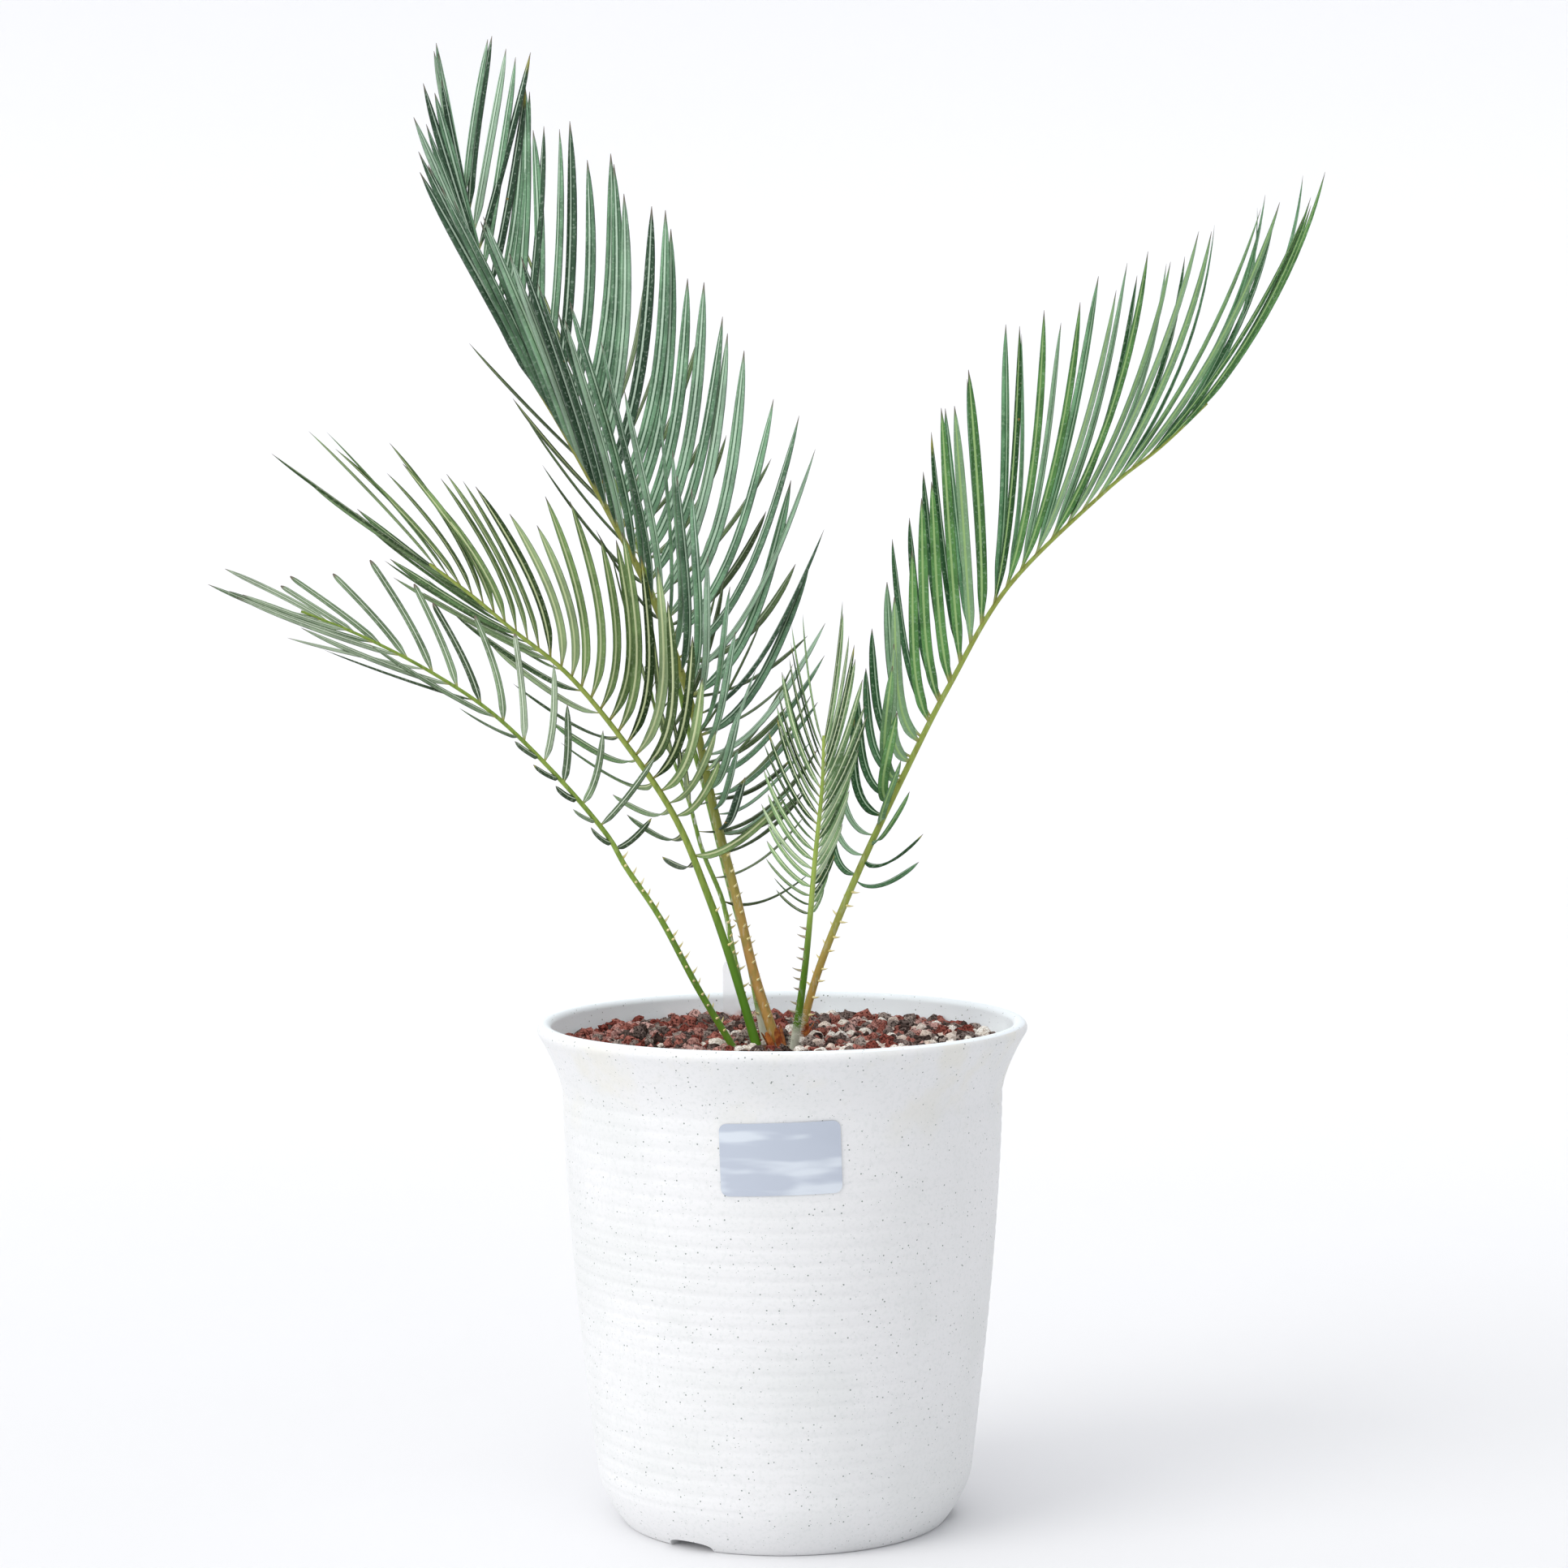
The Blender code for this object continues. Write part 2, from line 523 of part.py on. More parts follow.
def curve_through(points, steps):
    """Points on a smooth curve through the given ones."""
    chain = [points[0] * 2 - points[1]] + points + [points[-1] * 2 - points[-2]]
    made = []
    for a, b, c, d in zip(chain, chain[1:], chain[2:], chain[3:]):
        for k in range(steps):
            t = k / steps
            made.append((b * 2 + (c - a) * t + (a * 2 - b * 5 + c * 4 - d) * t ** 2
                         + (b * 3 - a - c * 3 + d) * t ** 3) / 2)
    return made + [points[-1]]


def trace(stalk, distance, share, hand, draw, lift=0.0, trim=1.0):
    """One leaflet's midline, with the direction across its blade and out of its back at each point."""
    frond = stalk.frond
    ahead, side, upper = stalk.frame(distance, share)
    side = side * hand
    row = (hand + 1) // 2
    leave = radians(read(frond["leave"][row], share) + draw[0] * frond["wander"])
    end = radians(read(frond["end"][row], share) + draw[1] * frond["wander"])
    rise = radians(read(frond["rise"][row], share) + lift)
    cant = radians(read(frond["cant"][row], share) + CANT_SPREAD * draw[1])
    hook = read(frond["hook"], share)
    length = read(frond["size"][row], share) * (1 + frond["ragged"] * draw[2]) * trim
    point = stalk.at(distance)
    line = []
    for k in range(TRACE_STEPS + 1):
        bent = 1 - (1 - k / TRACE_STEPS) ** hook
        angle = leave + (end - leave) * bent
        tilt = rise + radians(TILT_SPREAD * draw[3]) * bent
        out = side * cos(tilt) + upper * sin(tilt)
        across = out * cos(angle) - ahead * sin(angle)
        back = side * sin(tilt) - upper * cos(tilt)
        line.append((point.copy(), across * cos(cant) - back * sin(cant),
                     back * cos(cant) + across * sin(cant)))
        point += (ahead * cos(angle) + out * sin(angle)) * length / TRACE_STEPS
    return line


def is_clear(line, others):
    """Whether a leaflet keeps its distance from everything on other fronds."""
    return all(others.find(point)[2] > CLEAR for point, _, _ in line)


def is_lost(frond, hand, share, k):
    """Whether a leaflet is lost: on one side, below a share of the frond, all but one in so many."""
    side, below, step = frond.get("lost", (0, 0.0, 1))
    return hand == side and share < below and k % step != 0


def grow(frond, others):
    """The leaflets of one frond; one that would touch another frond is bent, cut short or lost."""
    stalk = Stalk(frond)
    random_draw = random.Random(frond["seed"])
    leaflets = []
    for hand in (-1, 1):
        for k in range(frond["pairs"]):
            share = (k + (0.25 if hand > 0 else 0.0)) / frond["pairs"]
            distance = frond["bare"] + (stalk.length - frond["bare"]) * share
            draw = [random_draw.uniform(-1, 1) for _ in range(4)]
            if is_lost(frond, hand, share, k):
                continue
            for lift, trim in BENDS:
                line = trace(stalk, distance, share, hand, draw, lift, trim)
                if is_clear(line, others):
                    leaflets.append((share, line))
                    break
    return stalk, leaflets


def others_tree(points):
    """A search tree of the points that later leaflets keep clear of."""
    tree = KDTree(len(points))
    for k, point in enumerate(points):
        tree.insert(point, k)
    tree.balance()
    return tree


def blade(line, width, share):
    """One leaflet as a slim keeled solid, narrow at its root and pointed at its tip."""
    width *= read(WIDTH_ALONG, share)
    stations = BENT_STATIONS if share < LONG_BEND else STRAIGHT_STATIONS
    points = []
    for place, wide in stations:
        point, across, back = line[round(place * TRACE_STEPS)]
        half = width * wide / 2
        points += [point + across * half, point - across * half, point + back * BLADE_KEEL]
    points.append(line[-1][0])
    tip = len(points) - 1
    faces = [(0, 1, 2)]
    for ring in range(len(stations) - 1):
        a, b = 3 * ring, 3 * ring + 3
        for s in range(3):
            near = (s + 1) % 3
            faces += [(a + s, a + near, b + s), (a + near, b + near, b + s)]
    last = tip - 3
    faces += [(last, last + 1, tip), (last + 1, last + 2, tip), (last + 2, last, tip)]
    return solid("leaflet", points, faces)


def spine(stalk, distance, hand):
    """A short thorn that stands out of a bare stalk."""
    ahead, side, upper = stalk.frame(distance, 0.0)
    out = (side * hand + upper * 0.35 + ahead * 0.25).normalized()
    foot = stalk.at(distance) + out * (stalk.radius(distance) - SPINE_ROOT)
    tip = foot + out * (SPINE_LENGTH + SPINE_ROOT) + ahead
    lift = out.cross(ahead).normalized()
    ring = [foot + (ahead * cos(tau * k / 3) + lift * sin(tau * k / 3)) * SPINE_RADIUS
            for k in range(3)]
    return solid("spine", ring + [tip], [(0, 1, 2), (0, 1, 3), (1, 2, 3), (2, 0, 3)])


def scale(stalk, turn):
    """A dry, pointed scale that hugs the foot of a stalk and bends away from it at its tip."""
    ahead, side, upper = stalk.frame(SCALE_FOOT, 0.0)
    out = side * cos(turn) + upper * sin(turn)
    across = ahead.cross(out) * SCALE_WIDTH / 2
    foot = stalk.at(SCALE_FOOT) + out * (stalk.radius(0) - 1.0)
    belly = foot + ahead * SCALE_LENGTH / 2 + out * SCALE_BULGE
    tip = foot + ahead * SCALE_LENGTH + out * SCALE_THICK
    points = [foot + across, foot - across, foot - out,
              belly + across, belly - across, belly - out * SCALE_THICK, tip]
    faces = [(0, 1, 2), (0, 1, 4, 3), (1, 2, 5, 4), (2, 0, 3, 5), (3, 4, 6), (4, 5, 6), (5, 3, 6)]
    return solid("scale", points, faces)


def make_frond(frond, stalk, leaflets):
    """A stalk with its leaflets and spines, joined in one solid."""
    foot, ahead = stalk_foot(frond)
    count = round(stalk.length / STALK_STEP)
    distances = [stalk.length * k / count for k in range(count + 1)]
    path = [foot - Vector((0, 0, SOCKET_DEPTH))] + [stalk.at(d) for d in distances]
    radii = [frond["stalk"][0]] + [stalk.radius(d) for d in distances]
    made = tube(frond["name"], path, radii, STALK_SIDES,
                material("glaucous_leaf", COLOURS["frond"]))
    parts = bpy.data.collections.new("parts")
    bpy.context.scene.collection.children.link(parts)
    pieces = [blade(line, frond["width"], share) for share, line in leaflets]
    low, high, pitch = frond["spines"]
    for k in range(int((high - low) / pitch)):
        pieces.append(spine(stalk, low + pitch * k, 1))
        pieces.append(spine(stalk, low + pitch * (k + 0.5), -1))
    scales = frond.get("scales", 0)
    pieces += [scale(stalk, tau * (k + 0.3) / scales) for k in range(scales)]
    for piece in pieces:
        bpy.context.scene.collection.objects.unlink(piece)
        parts.objects.link(piece)
    apply_boolean(made, "UNION", collection=parts, solver="MANIFOLD")
    smooth(made)


def make_fronds():
    """Grow the fronds in turn, each clear of all stalks and of the leaflets grown before it."""
    stalks = {frond["name"]: Stalk(frond) for frond in FRONDS}
    taken = []
    for frond in FRONDS:
        points = list(taken)
        for name, stalk in stalks.items():
            if name != frond["name"]:
                points += [stalk.at(d) for d in range(0, int(stalk.length), STALK_POINTS)]
        stalk, leaflets = grow(frond, others_tree(points))
        taken += [point for _, line in leaflets for point, _, _ in line]
        make_frond(frond, stalk, leaflets)


def centre_on_origin():
    """Move every piece so that the plant's bounding box is centred on the Z axis."""
    pieces = [piece for piece in bpy.context.scene.objects if piece.type == "MESH"]
    xs = [vertex.co.x for piece in pieces for vertex in piece.data.vertices]
    ys = [vertex.co.y for piece in pieces for vertex in piece.data.vertices]
    shift = Vector(((min(xs) + max(xs)) / -2, (min(ys) + max(ys)) / -2, 0))
    for piece in pieces:
        piece.data.transform(Matrix.Translation(shift))


def main():
    """Build every piece in an empty scene."""
    for old in list(bpy.data.objects):
        bpy.data.objects.remove(old)
    make_pot()
    make_soil()
    make_stem()
    tag_shape("plant_tag", 0.0, material("tag_plastic", COLOURS["plant_tag"]))
    make_label()
    make_fronds()
    centre_on_origin()


main()
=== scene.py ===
"""Potted cycad, dressed: fine leaflets, thorny stalks, wool, loose grit and a speckled pot.

Lengths are in millimetres round the pot's axis, and become metres in the row frame when a mesh is
made. The fronds grow by the same table and rule as the part's solids, so each finely swept leaflet
lies where its solid lies. +X is the photo's right and -Y its front.
"""

import json
import random
from math import cos, floor, hypot, pi, radians, sin, sqrt, tau

import bmesh
import bpy
from mathutils import Matrix, Vector, noise
from mathutils.kdtree import KDTree

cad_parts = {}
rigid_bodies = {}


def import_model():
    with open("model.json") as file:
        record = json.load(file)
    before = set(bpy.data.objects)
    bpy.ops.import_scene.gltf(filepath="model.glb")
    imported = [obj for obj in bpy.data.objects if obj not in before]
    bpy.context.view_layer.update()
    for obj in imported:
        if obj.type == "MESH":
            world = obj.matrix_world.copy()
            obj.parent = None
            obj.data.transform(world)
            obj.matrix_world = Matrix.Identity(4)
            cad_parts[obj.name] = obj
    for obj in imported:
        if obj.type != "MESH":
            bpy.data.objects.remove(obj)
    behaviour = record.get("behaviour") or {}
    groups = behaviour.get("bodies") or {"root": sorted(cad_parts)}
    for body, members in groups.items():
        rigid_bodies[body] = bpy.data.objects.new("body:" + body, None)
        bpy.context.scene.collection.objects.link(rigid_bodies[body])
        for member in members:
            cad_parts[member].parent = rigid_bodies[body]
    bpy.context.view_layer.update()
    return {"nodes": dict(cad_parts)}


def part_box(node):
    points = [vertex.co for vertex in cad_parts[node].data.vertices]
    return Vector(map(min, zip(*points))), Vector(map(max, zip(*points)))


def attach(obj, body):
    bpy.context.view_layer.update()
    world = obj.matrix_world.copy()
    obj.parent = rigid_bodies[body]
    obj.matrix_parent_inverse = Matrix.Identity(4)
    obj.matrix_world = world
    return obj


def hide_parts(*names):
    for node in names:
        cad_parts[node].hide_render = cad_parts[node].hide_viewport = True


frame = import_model()
MM = 0.001
pot_low, pot_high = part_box("pot")
AXIS = Vector(((pot_low.x + pot_high.x) / 2, (pot_low.y + pot_high.y) / 2, 0))

# Pot, as in the part's source
POT_HEIGHT = 276.0
RIM_RADIUS = 135.0
FOOT_RADIUS = 89.5
BULGE_RADIUS = 104.0
BULGE_HEIGHT = 30.0
NECK_RADIUS = 121.3
NECK_HEIGHT = 237.0
LIP_HEIGHT = 268.0
LIP_OVERHANG = 1.8
LIP_WALL = 6.0
BULGE_POWER = 1.6
WALL_POWER = 1.5
WALL = 4.5
FLOOR_UNDER = 6.0
FLOOR_TOP = 11.0
FOOT_INNER_RADIUS = 80.0
NOTCHES = 3
NOTCH_TURN = radians(-124.0)
NOTCH_WIDTH = 28.0
NOTCH_HEIGHT = 5.0
ARCH_STEPS = 24
DRAINS = 4
DRAIN_RADIUS = 5.0
DRAIN_CIRCLE = 48.0

# Pot, finer than the solid
SEGMENTS = 160
DRAIN_SIDES = 24
RING_STEP = 1.4              # height of one ring of faces on the wall
INNER_STEP = 6.0             # and on its inner face
FOOT_EDGE = 0.5              # height of the foot's outer bevel, and width of its inner one
FOOT_BEVEL = 0.4             # height of the inner one
FOOT_ROUND = 0.8             # the pot stands on a face this much smaller than its foot
FOOT_DRAFT = 1.5             # the foot's inner face leans in by this much
INNER_FROM = 0.7             # points deeper than this share of the wall are on its inner face
TURNING_PITCH = 8.5          # distance between two turning grooves
TURNING_DEPTH = 0.5
TURNING_SHARP = 3            # how narrow the grooves are against the ridges
TURNING_MEAN = 0.75          # their depth varies about this share of the full depth
TURNING_VARIES = 0.6
TURNING_LEAST = 0.4
TURNING_PATCHES = 1.5        # how often it changes round the pot
TURNING_LOW = 22.0
TURNING_HIGH = 246.0
TURNING_FADE = 60.0          # the grooves fade in and out over about this height
LIP_BELLY = 272.2            # the lip is widest here
LIP_CREST = 131.0            # and highest at this radius
LIP_HOLLOW = 272.5           # its inner face is upright below this
LIP_STEPS = 7

# Grit
SOIL_AT_WALL = 263.5
SOIL_MOUND = 3.5
SOIL_RELIEF = 3.4
SOIL_LUMP = 0.24
SOIL_EDGE = 6.0
BED_DROP = 2.4               # the dark bed lies this far under the solid's top, and the grains on it
BED_DEPTH = 30.0
BED_GAP = 0.2                # between the bed and the wall
DISC_RINGS = 26
DISC_SIDES = 72
GRIT_REACH = 122.5           # the grains' middles lie out to this radius
GRAIN_SPACING = 4.5
GRAIN_CLEAR = 4.2            # least distance from a grain's middle to a stalk's
GRAIN_LIFT = 2.2             # grains lie up to this much higher or lower than the bed
GRAIN_LIMIT = 400000.0       # more grains a square metre than their spacing lets through
GRAIN_SEED = 4
TONE_SLOPE = (2.3, -1.6, 0.0)  # how fast the mixture gets paler to the right and to the front
TONE_PATCH = 45.0            # scale of the patches in which one kind of grain gathers
TONE_RANGE = (-0.25, 0.75)   # a grain's own tone, to which its patch and the slope are added
TONE_FROM_PATCH = 0.5
LAVA_KINDS = 9
LAVA_CRAG = 0.75             # how deeply the grains are pitted
PUMICE_KINDS = 6
PUMICE_CRAG = 0.2
GRAIN_SQUASH = (0.72, 1.1)   # a grain's half widths, as shares of its size
GRAIN_LUMP = 0.25
LUMP_SCALE = 0.9
PIT_SCALE = 2.6

# Label, at the size it has in the photo; its solid is 3 mm wider and 2 mm higher
LABEL_BOTTOM = 199.0
LABEL_TOP = 237.3
LABEL_LEFT = -32.8
LABEL_RIGHT = 30.6
LABEL_THICK = 0.4
LABEL_GAP = 0.1
LABEL_WAVE = 0.12            # height of the shallow waves it lies in
LABEL_WAVE_LONG = 30.0
LABEL_WAVE_WIDE = 6.0
LABEL_WAVE_SLICE = 3.0       # which part of the noise they are taken from
LABEL_CORNER = 4.0
LABEL_TILT = radians(1.6)    # it was stuck on by hand, a little crooked
LABEL_COLUMNS = 48
LABEL_ROWS = 30

# Fronds, as in the part's source
SOCKET_DEPTH = 16.0
CURVE_STEPS = 24
LOOK = 2.0
STALK_TAPER = 0.8
TRACE_STEPS = 40
WIDTH_ALONG = (0.9, 1.0, 1.0, 0.92, 0.66)
TILT_SPREAD = 4.0
CANT_SPREAD = 18.0
CLEAR = 8.2
STALK_POINTS = 3
BENDS = [(lift, trim) for trim in (1.0, 0.85, 0.7, 0.5) for lift in (0, 8, -8, 16, -16, 24, -24, 34)]

# Fronds, finer than the solids
LEAF_SEED = 100              # added to a frond's seed for its leaflets' twist and tint
THORN_SEED = 200             # and for its thorns
STALK_STEP = 6.0
STALK_SIDES = 16
THORN_SIDES = 6
STATIONS = [0, 1, 2, 3, 4, 5, 6, 8, 10, 12, 15, 18, 21, 24, 27, 30, 33, 35, 37, 38, 39, 40]
ROOT_WIDTH = 0.30            # a leaflet's width at its root, as a share of its full width
ROOT_SHARE = 0.16            # it widens over this share of its length
TAPER_POWER = 8.0
TIP_WIDTH = 0.05
BLUNT_FROM = 0.9             # a broken leaflet's end is round from this share of its length on
BLUNT_LOSS = 0.25            # and its blade narrows by this share on the way
BLUNT_WIDTH = 0.25           # its width at the very end
TWIST = 14.0                 # a leaflet's blade turns by up to this much on the way to its tip
THORN_LENGTH = 5.6
THORN_SIZES = (0.75, 1.1)    # the thorns' lengths, as shares of that one
THORN_STEPS = (0.0, 0.25, 0.5, 0.75, 1.0)
THORN_TAPER = 0.8
THORN_SUNK = 0.8             # a thorn's root starts this deep in the stalk
THORN_STRAY = 1.5            # and this far from its even place
THORN_HALF = 0.85
THORN_POINT = 0.06
THORN_CURVE = 1.6            # how far its tip bends up the stalk
LEAN = (0.1, 0.7)            # how far thorns lean to the upper face, where a frond says nothing
SCALE_LENGTHS = (9.0, 13.0)
SCALE_FLARE = (1.5, 3.5)     # how far a dry scale's tip stands off its stalk
SCALE_HALF = 3.12
SCALE_GAP = 0.4
SCALE_STRAY = 0.2
SCALE_STEPS = (0.0, 0.15, 0.35, 0.55, 0.75, 0.9, 1.0)
HAIR_LENGTH = 2.6
HAIR_HALF = 0.07
HAIR_THINS = 0.8             # it loses this share of its width on the way to its tip
HAIR_BEND = 0.8              # and bends over this far
HAIR_SIZES = (0.5, 1.3)      # the hairs' sizes, as shares of that one
HAIR_LEAN = ((-1.0, -1.0, -0.6), (1.0, 1.0, 1.0))
HAIR_SIDES = 3
HAIR_PATH = [(0.0, 0.0), (0.15, 0.4), (0.45, 0.75), (1.0, 1.0)]

# Camera, solved from the pot's outline in the photo; it sees as far as CAMERA_END, in metres
CAMERA_PLACE = (1.8, -2002.2, 530.8)
CAMERA_PITCH = 0.0622
CAMERA_ROLL = -0.0060
CAMERA_LENS = 83.8
SENSOR_WIDTH = 36.0
CAMERA_END = 30.0

# Paper sweep, in metres
PAPER_HALF = 4.0
PAPER_FRONT = -4.0
PAPER_BACK = 2.2
PAPER_TOP = 4.0
PAPER_BEND = 1.2
BEND_STEPS = 12
PAPER_FADE = (0.02, 0.9)     # its tone changes between these heights

# Light: where the sky's strength changes from left to right and what it is there, and each sun's
# strength, the width of its disc in degrees and the place it shines from
SKY_CHANGE = (-0.9, 0.9, 0.87, 0.66)
SUNS = [("key", 1.12, 38.0, (-0.72, -0.50, 0.50)), ("overhead", 0.75, 60.0, (-0.10, -0.30, 1.0))]


def both(*profile):
    """The same profile for a frond's two sides."""
    return profile, profile


# Each frond: its heading on the compass (0 is +X, 90 is +Y), the route of its stalk, the length of
# bare stalk, and profiles read from the lowest leaflet to the tip. "leave" and "end" are a leaflet's
# angles to the stalk at its root and tip, "rise" its lift out of the frond's flat, "roll" the turn
# of the frond about its stalk, "hook" how soon it has bent, "cant" how far its blade faces the tip.
# A pair of profiles is for the two sides, first the one at heading - 90. "ragged" is the spread of
# the lengths and "wander" that of the angles in degrees. "lost" keeps one leaflet in so many on a
# side, below a share of the frond. "slim" narrows the blades. "thorns" holds the first and last
# place of the thorns and their spacing, and "lean" how far each side's rows lean to the upper face.
FRONDS = [
    dict(name="right", heading=10, seed=1, pairs=28, bare=94, roll=(0,), stalk=(2.4, 0.8),
         route=[(9, -14, 266), (21, -12, 307), (43, -9, 360), (71, -4, 418), (93, 0, 460),
                (126, 7, 514), (179, 16, 565), (211, 22, 590), (237, 26, 614)],
         leave=both(112, 112, 108, 62, 40, 30, 24, 19, 14, 9, 6),
         end=((30, 24, 36, 38, 42, 44, 42, 42, 46), (30, 30, 31, 33, 36, 40, 41, 42, 46)),
         hook=(3, 4, 4, 3, 1.8, 1.2, 1.1, 1.1),
         rise=((-90, 5, 45, 60, 62, 62, 62, 62, 62, 62, 60, 56, 52, 50), (62, 62, 62, 60, 50)),
         size=((38, 46, 80, 112, 138, 150, 156, 158, 160, 155, 150), (40, 76, 138, 158, 160, 150)),
         cant=((70, 20, 8, -15, -21, -16), (65, 47, 53, 68, 78, 84)), width=6.0, ragged=0.09,
         wander=4, thorns=(12, 92, 8.8), lean=((-1.3, -0.6), (0.2, 0.8))),
    dict(name="small", heading=-60, seed=5, pairs=20, bare=79, roll=(0,), stalk=(2.4, 0.8),
         route=[(6, -43, 264), (12, -54, 307), (15, -59, 335), (18, -63, 369), (22, -67, 408),
                (23, -69, 436)],
         leave=both(85, 66, 50, 34, 14), end=both(50, 35, 27, 16, 2), hook=(2,),
         rise=((44, 44, 44, 46), (38, 34, 26, 18, 18)), size=both(22, 44, 58, 64, 76),
         cant=((47, 46, 44), (-23, -22, -18, -10)), width=4.2, ragged=0.06, wander=3,
         thorns=(20, 76, 6.0), lean=((0.0, 0.4), (1.4, 2.2)), slim=0.9),
    dict(name="tall", heading=165, seed=2, pairs=36, bare=122, roll=(-15, -30, -38, -36),
         stalk=(3.1, 0.9),
         route=[(-2, -37, 264), (-15, -33, 305), (-25, -30, 349), (-36, -27, 393), (-50, -24, 457),
                (-72, -18, 515), (-115, -6, 596), (-141, 1, 640), (-159, 6, 680), (-168, 8, 716),
                (-173, 9, 740)],
         leave=both(105, 82, 62, 55, 46, 34, 12), end=both(58, 35, 31, 31, 30, 27, 24),
         hook=(4, 3, 2, 1.6, 1.4),
         rise=((50, 50, 50, 45), (55, 62, 66, 66, 62, 58, 57, 58)),
         size=((55, 140, 160, 155, 128, 78), (55, 130, 150, 145, 118, 74)),
         cant=((80, 74, 55, 25, 5, 10, 10, 15, 20, 25, 30), (-72, -50, -52, -64, -62, -54)),
         width=7.0, ragged=0.08, wander=4.5, thorns=(18, 118, 7.5),
         lean=((-0.8, -0.2), (0.9, 1.7))),
    dict(name="left", heading=172, seed=3, pairs=28, bare=110, roll=(45,), stalk=(2.7, 0.8),
         route=[(-13, -40, 264), (-27, -38, 311), (-40, -36, 349), (-57, -34, 390),
                (-82, -31, 428), (-114, -26, 467), (-146, -21, 493), (-166, -19, 510),
                (-190, -15, 528)],
         leave=((115, 90, 56, 32, 16), (115, 90, 60, 40, 14)),
         end=((75, 50, 26, 13, 5), (75, 42, 25, 14, 4)),
         hook=(3, 2.5, 2),
         rise=((20, 14, 14, 22, 28), (40,)),
         size=((70, 100, 104, 100, 108), (62, 100, 106, 92, 88, 108)),
         cant=((80, 53, 44, 41, 37, 35), (53, 54, 56, 62, 72, 78)), width=5.8, ragged=0.14,
         wander=5, lost=(-1, 0.6, 2), thorns=(60, 100, 20.0)),
    dict(name="low", heading=196, seed=4, pairs=14, bare=130, roll=(-40,), stalk=(2.0, 0.7),
         route=[(-25, -44, 264), (-46, -50, 301), (-65, -55, 338), (-83, -60, 366),
                (-93, -64, 384), (-118, -72, 415), (-150, -80, 448), (-182, -89, 471),
                (-216, -99, 490), (-248, -108, 504)],
         leave=((110, 80, 62, 48, 40, 20, 10), (58, 42, 36, 30, 14)),
         end=((90, 60, 44, 36, 28, 9, 5), (20, 19, 21, 17, 6)), hook=(2,),
         rise=((18,), (-10, 6, 6, 10)),
         size=((36, 50, 56, 62, 60, 50, 50), (16, 20, 22, 96, 92, 78, 56)),
         cant=((55, 40, 25, 40), (17, 8, 1, 4, 3, 1)), width=5.2, ragged=0.2, wander=9,
         thorns=(14, 126, 8.0), lean=((0.1, 0.7), (0.6, 1.3)), blunt=(0.3, 0.9), slim=0.8),
    dict(name="inner", heading=150, seed=6, pairs=10, bare=82, roll=(0,), stalk=(1.8, 0.8),
         route=[(-15, -26, 264), (-26, -20, 313), (-32, -16, 343), (-43, -10, 370),
                (-50, -6, 396), (-56, -2, 412), (-64, 2, 433), (-69, 5, 448), (-74, 8, 471)],
         leave=both(114, 100, 66, 30), end=both(66, 52, 40, 20), hook=(2,),
         rise=both(30), size=both(60, 100, 100, 80),
         cant=((74, 76, 81, 86, 91, 98), (65, 38, 29, 21, 18, 18)), width=5.6, ragged=0.16,
         wander=8, thorns=(14, 78, 8.0), lean=((0.1, 0.7), (0.6, 1.3))),
    dict(name="back", heading=140, seed=7, pairs=14, bare=122, roll=(0,), stalk=(2.2, 0.8),
         route=[(-9, -15, 264), (-19, -6, 315), (-28, 2, 348), (-42, 14, 403), (-51, 20, 435),
                (-61, 28, 480), (-77, 40, 529), (-96, 56, 584), (-113, 71, 635)],
         leave=both(112, 95, 62, 30), end=both(66, 54, 40, 20), hook=(2,),
         rise=both(30), size=both(60, 105, 115, 80),
         cant=((70, 73, 73, 74, 78, 83), (80, 56, 39, 28, 25, 24)), width=6.0, ragged=0.14,
         wander=7, thorns=(16, 116, 9.0)),
]

# A leaflet's cross-section in half widths: how far out of its back, how far across, and whether the
# point is on the underside. The blade is arched, its edges curl under and a pale midrib stands out
# below.
LEAF_SECTION = [
    (0.45, -1.00, 0.5), (0.22, -0.86, 0), (0.02, -0.55, 0), (-0.03, -0.27, 0), (0.0, 0.0, 0),
    (-0.03, 0.27, 0), (0.02, 0.55, 0), (0.22, 0.86, 0), (0.45, 1.00, 0.5), (0.34, 0.80, 1),
    (0.10, 0.34, 1), (0.20, 0.14, 1), (0.26, 0.0, 1), (0.20, -0.14, 1), (0.10, -0.34, 1),
    (0.34, -0.80, 1)]


# Making meshes

def to_row(point):
    """A point in millimetres round the pot's axis, in metres in the row frame."""
    return Vector(point) * MM + AXIS


def add_object(name, data):
    """A new object in the scene."""
    made = bpy.data.objects.new(name, data)
    bpy.context.scene.collection.objects.link(made)
    return made


def add_mesh(name, points, edges, faces, place=to_row):
    """A new mesh object, with its points put into the row frame unless told otherwise."""
    mesh = bpy.data.meshes.new(name)
    mesh.from_pydata([place(p) for p in points], edges, faces)
    return add_object(name, mesh)


def store(made, title, values, kind="FLOAT"):
    """Store a number or a vector for each point of a mesh object."""
    kept = made.data.attributes.new(title, kind, "POINT")
    kept.data.foreach_set("value" if kind == "FLOAT" else "vector", values)


def face_outwards(mesh):
    """Turn every face of a closed mesh outwards."""
    shape = bmesh.new()
    shape.from_mesh(mesh)
    bmesh.ops.recalc_face_normals(shape, faces=shape.faces)
    shape.to_mesh(mesh)
    shape.free()


def solid(name, points, faces):
    """A closed mesh object, with its faces turned outwards."""
    made = add_mesh(name, points, [], faces)
    face_outwards(made.data)
    return made


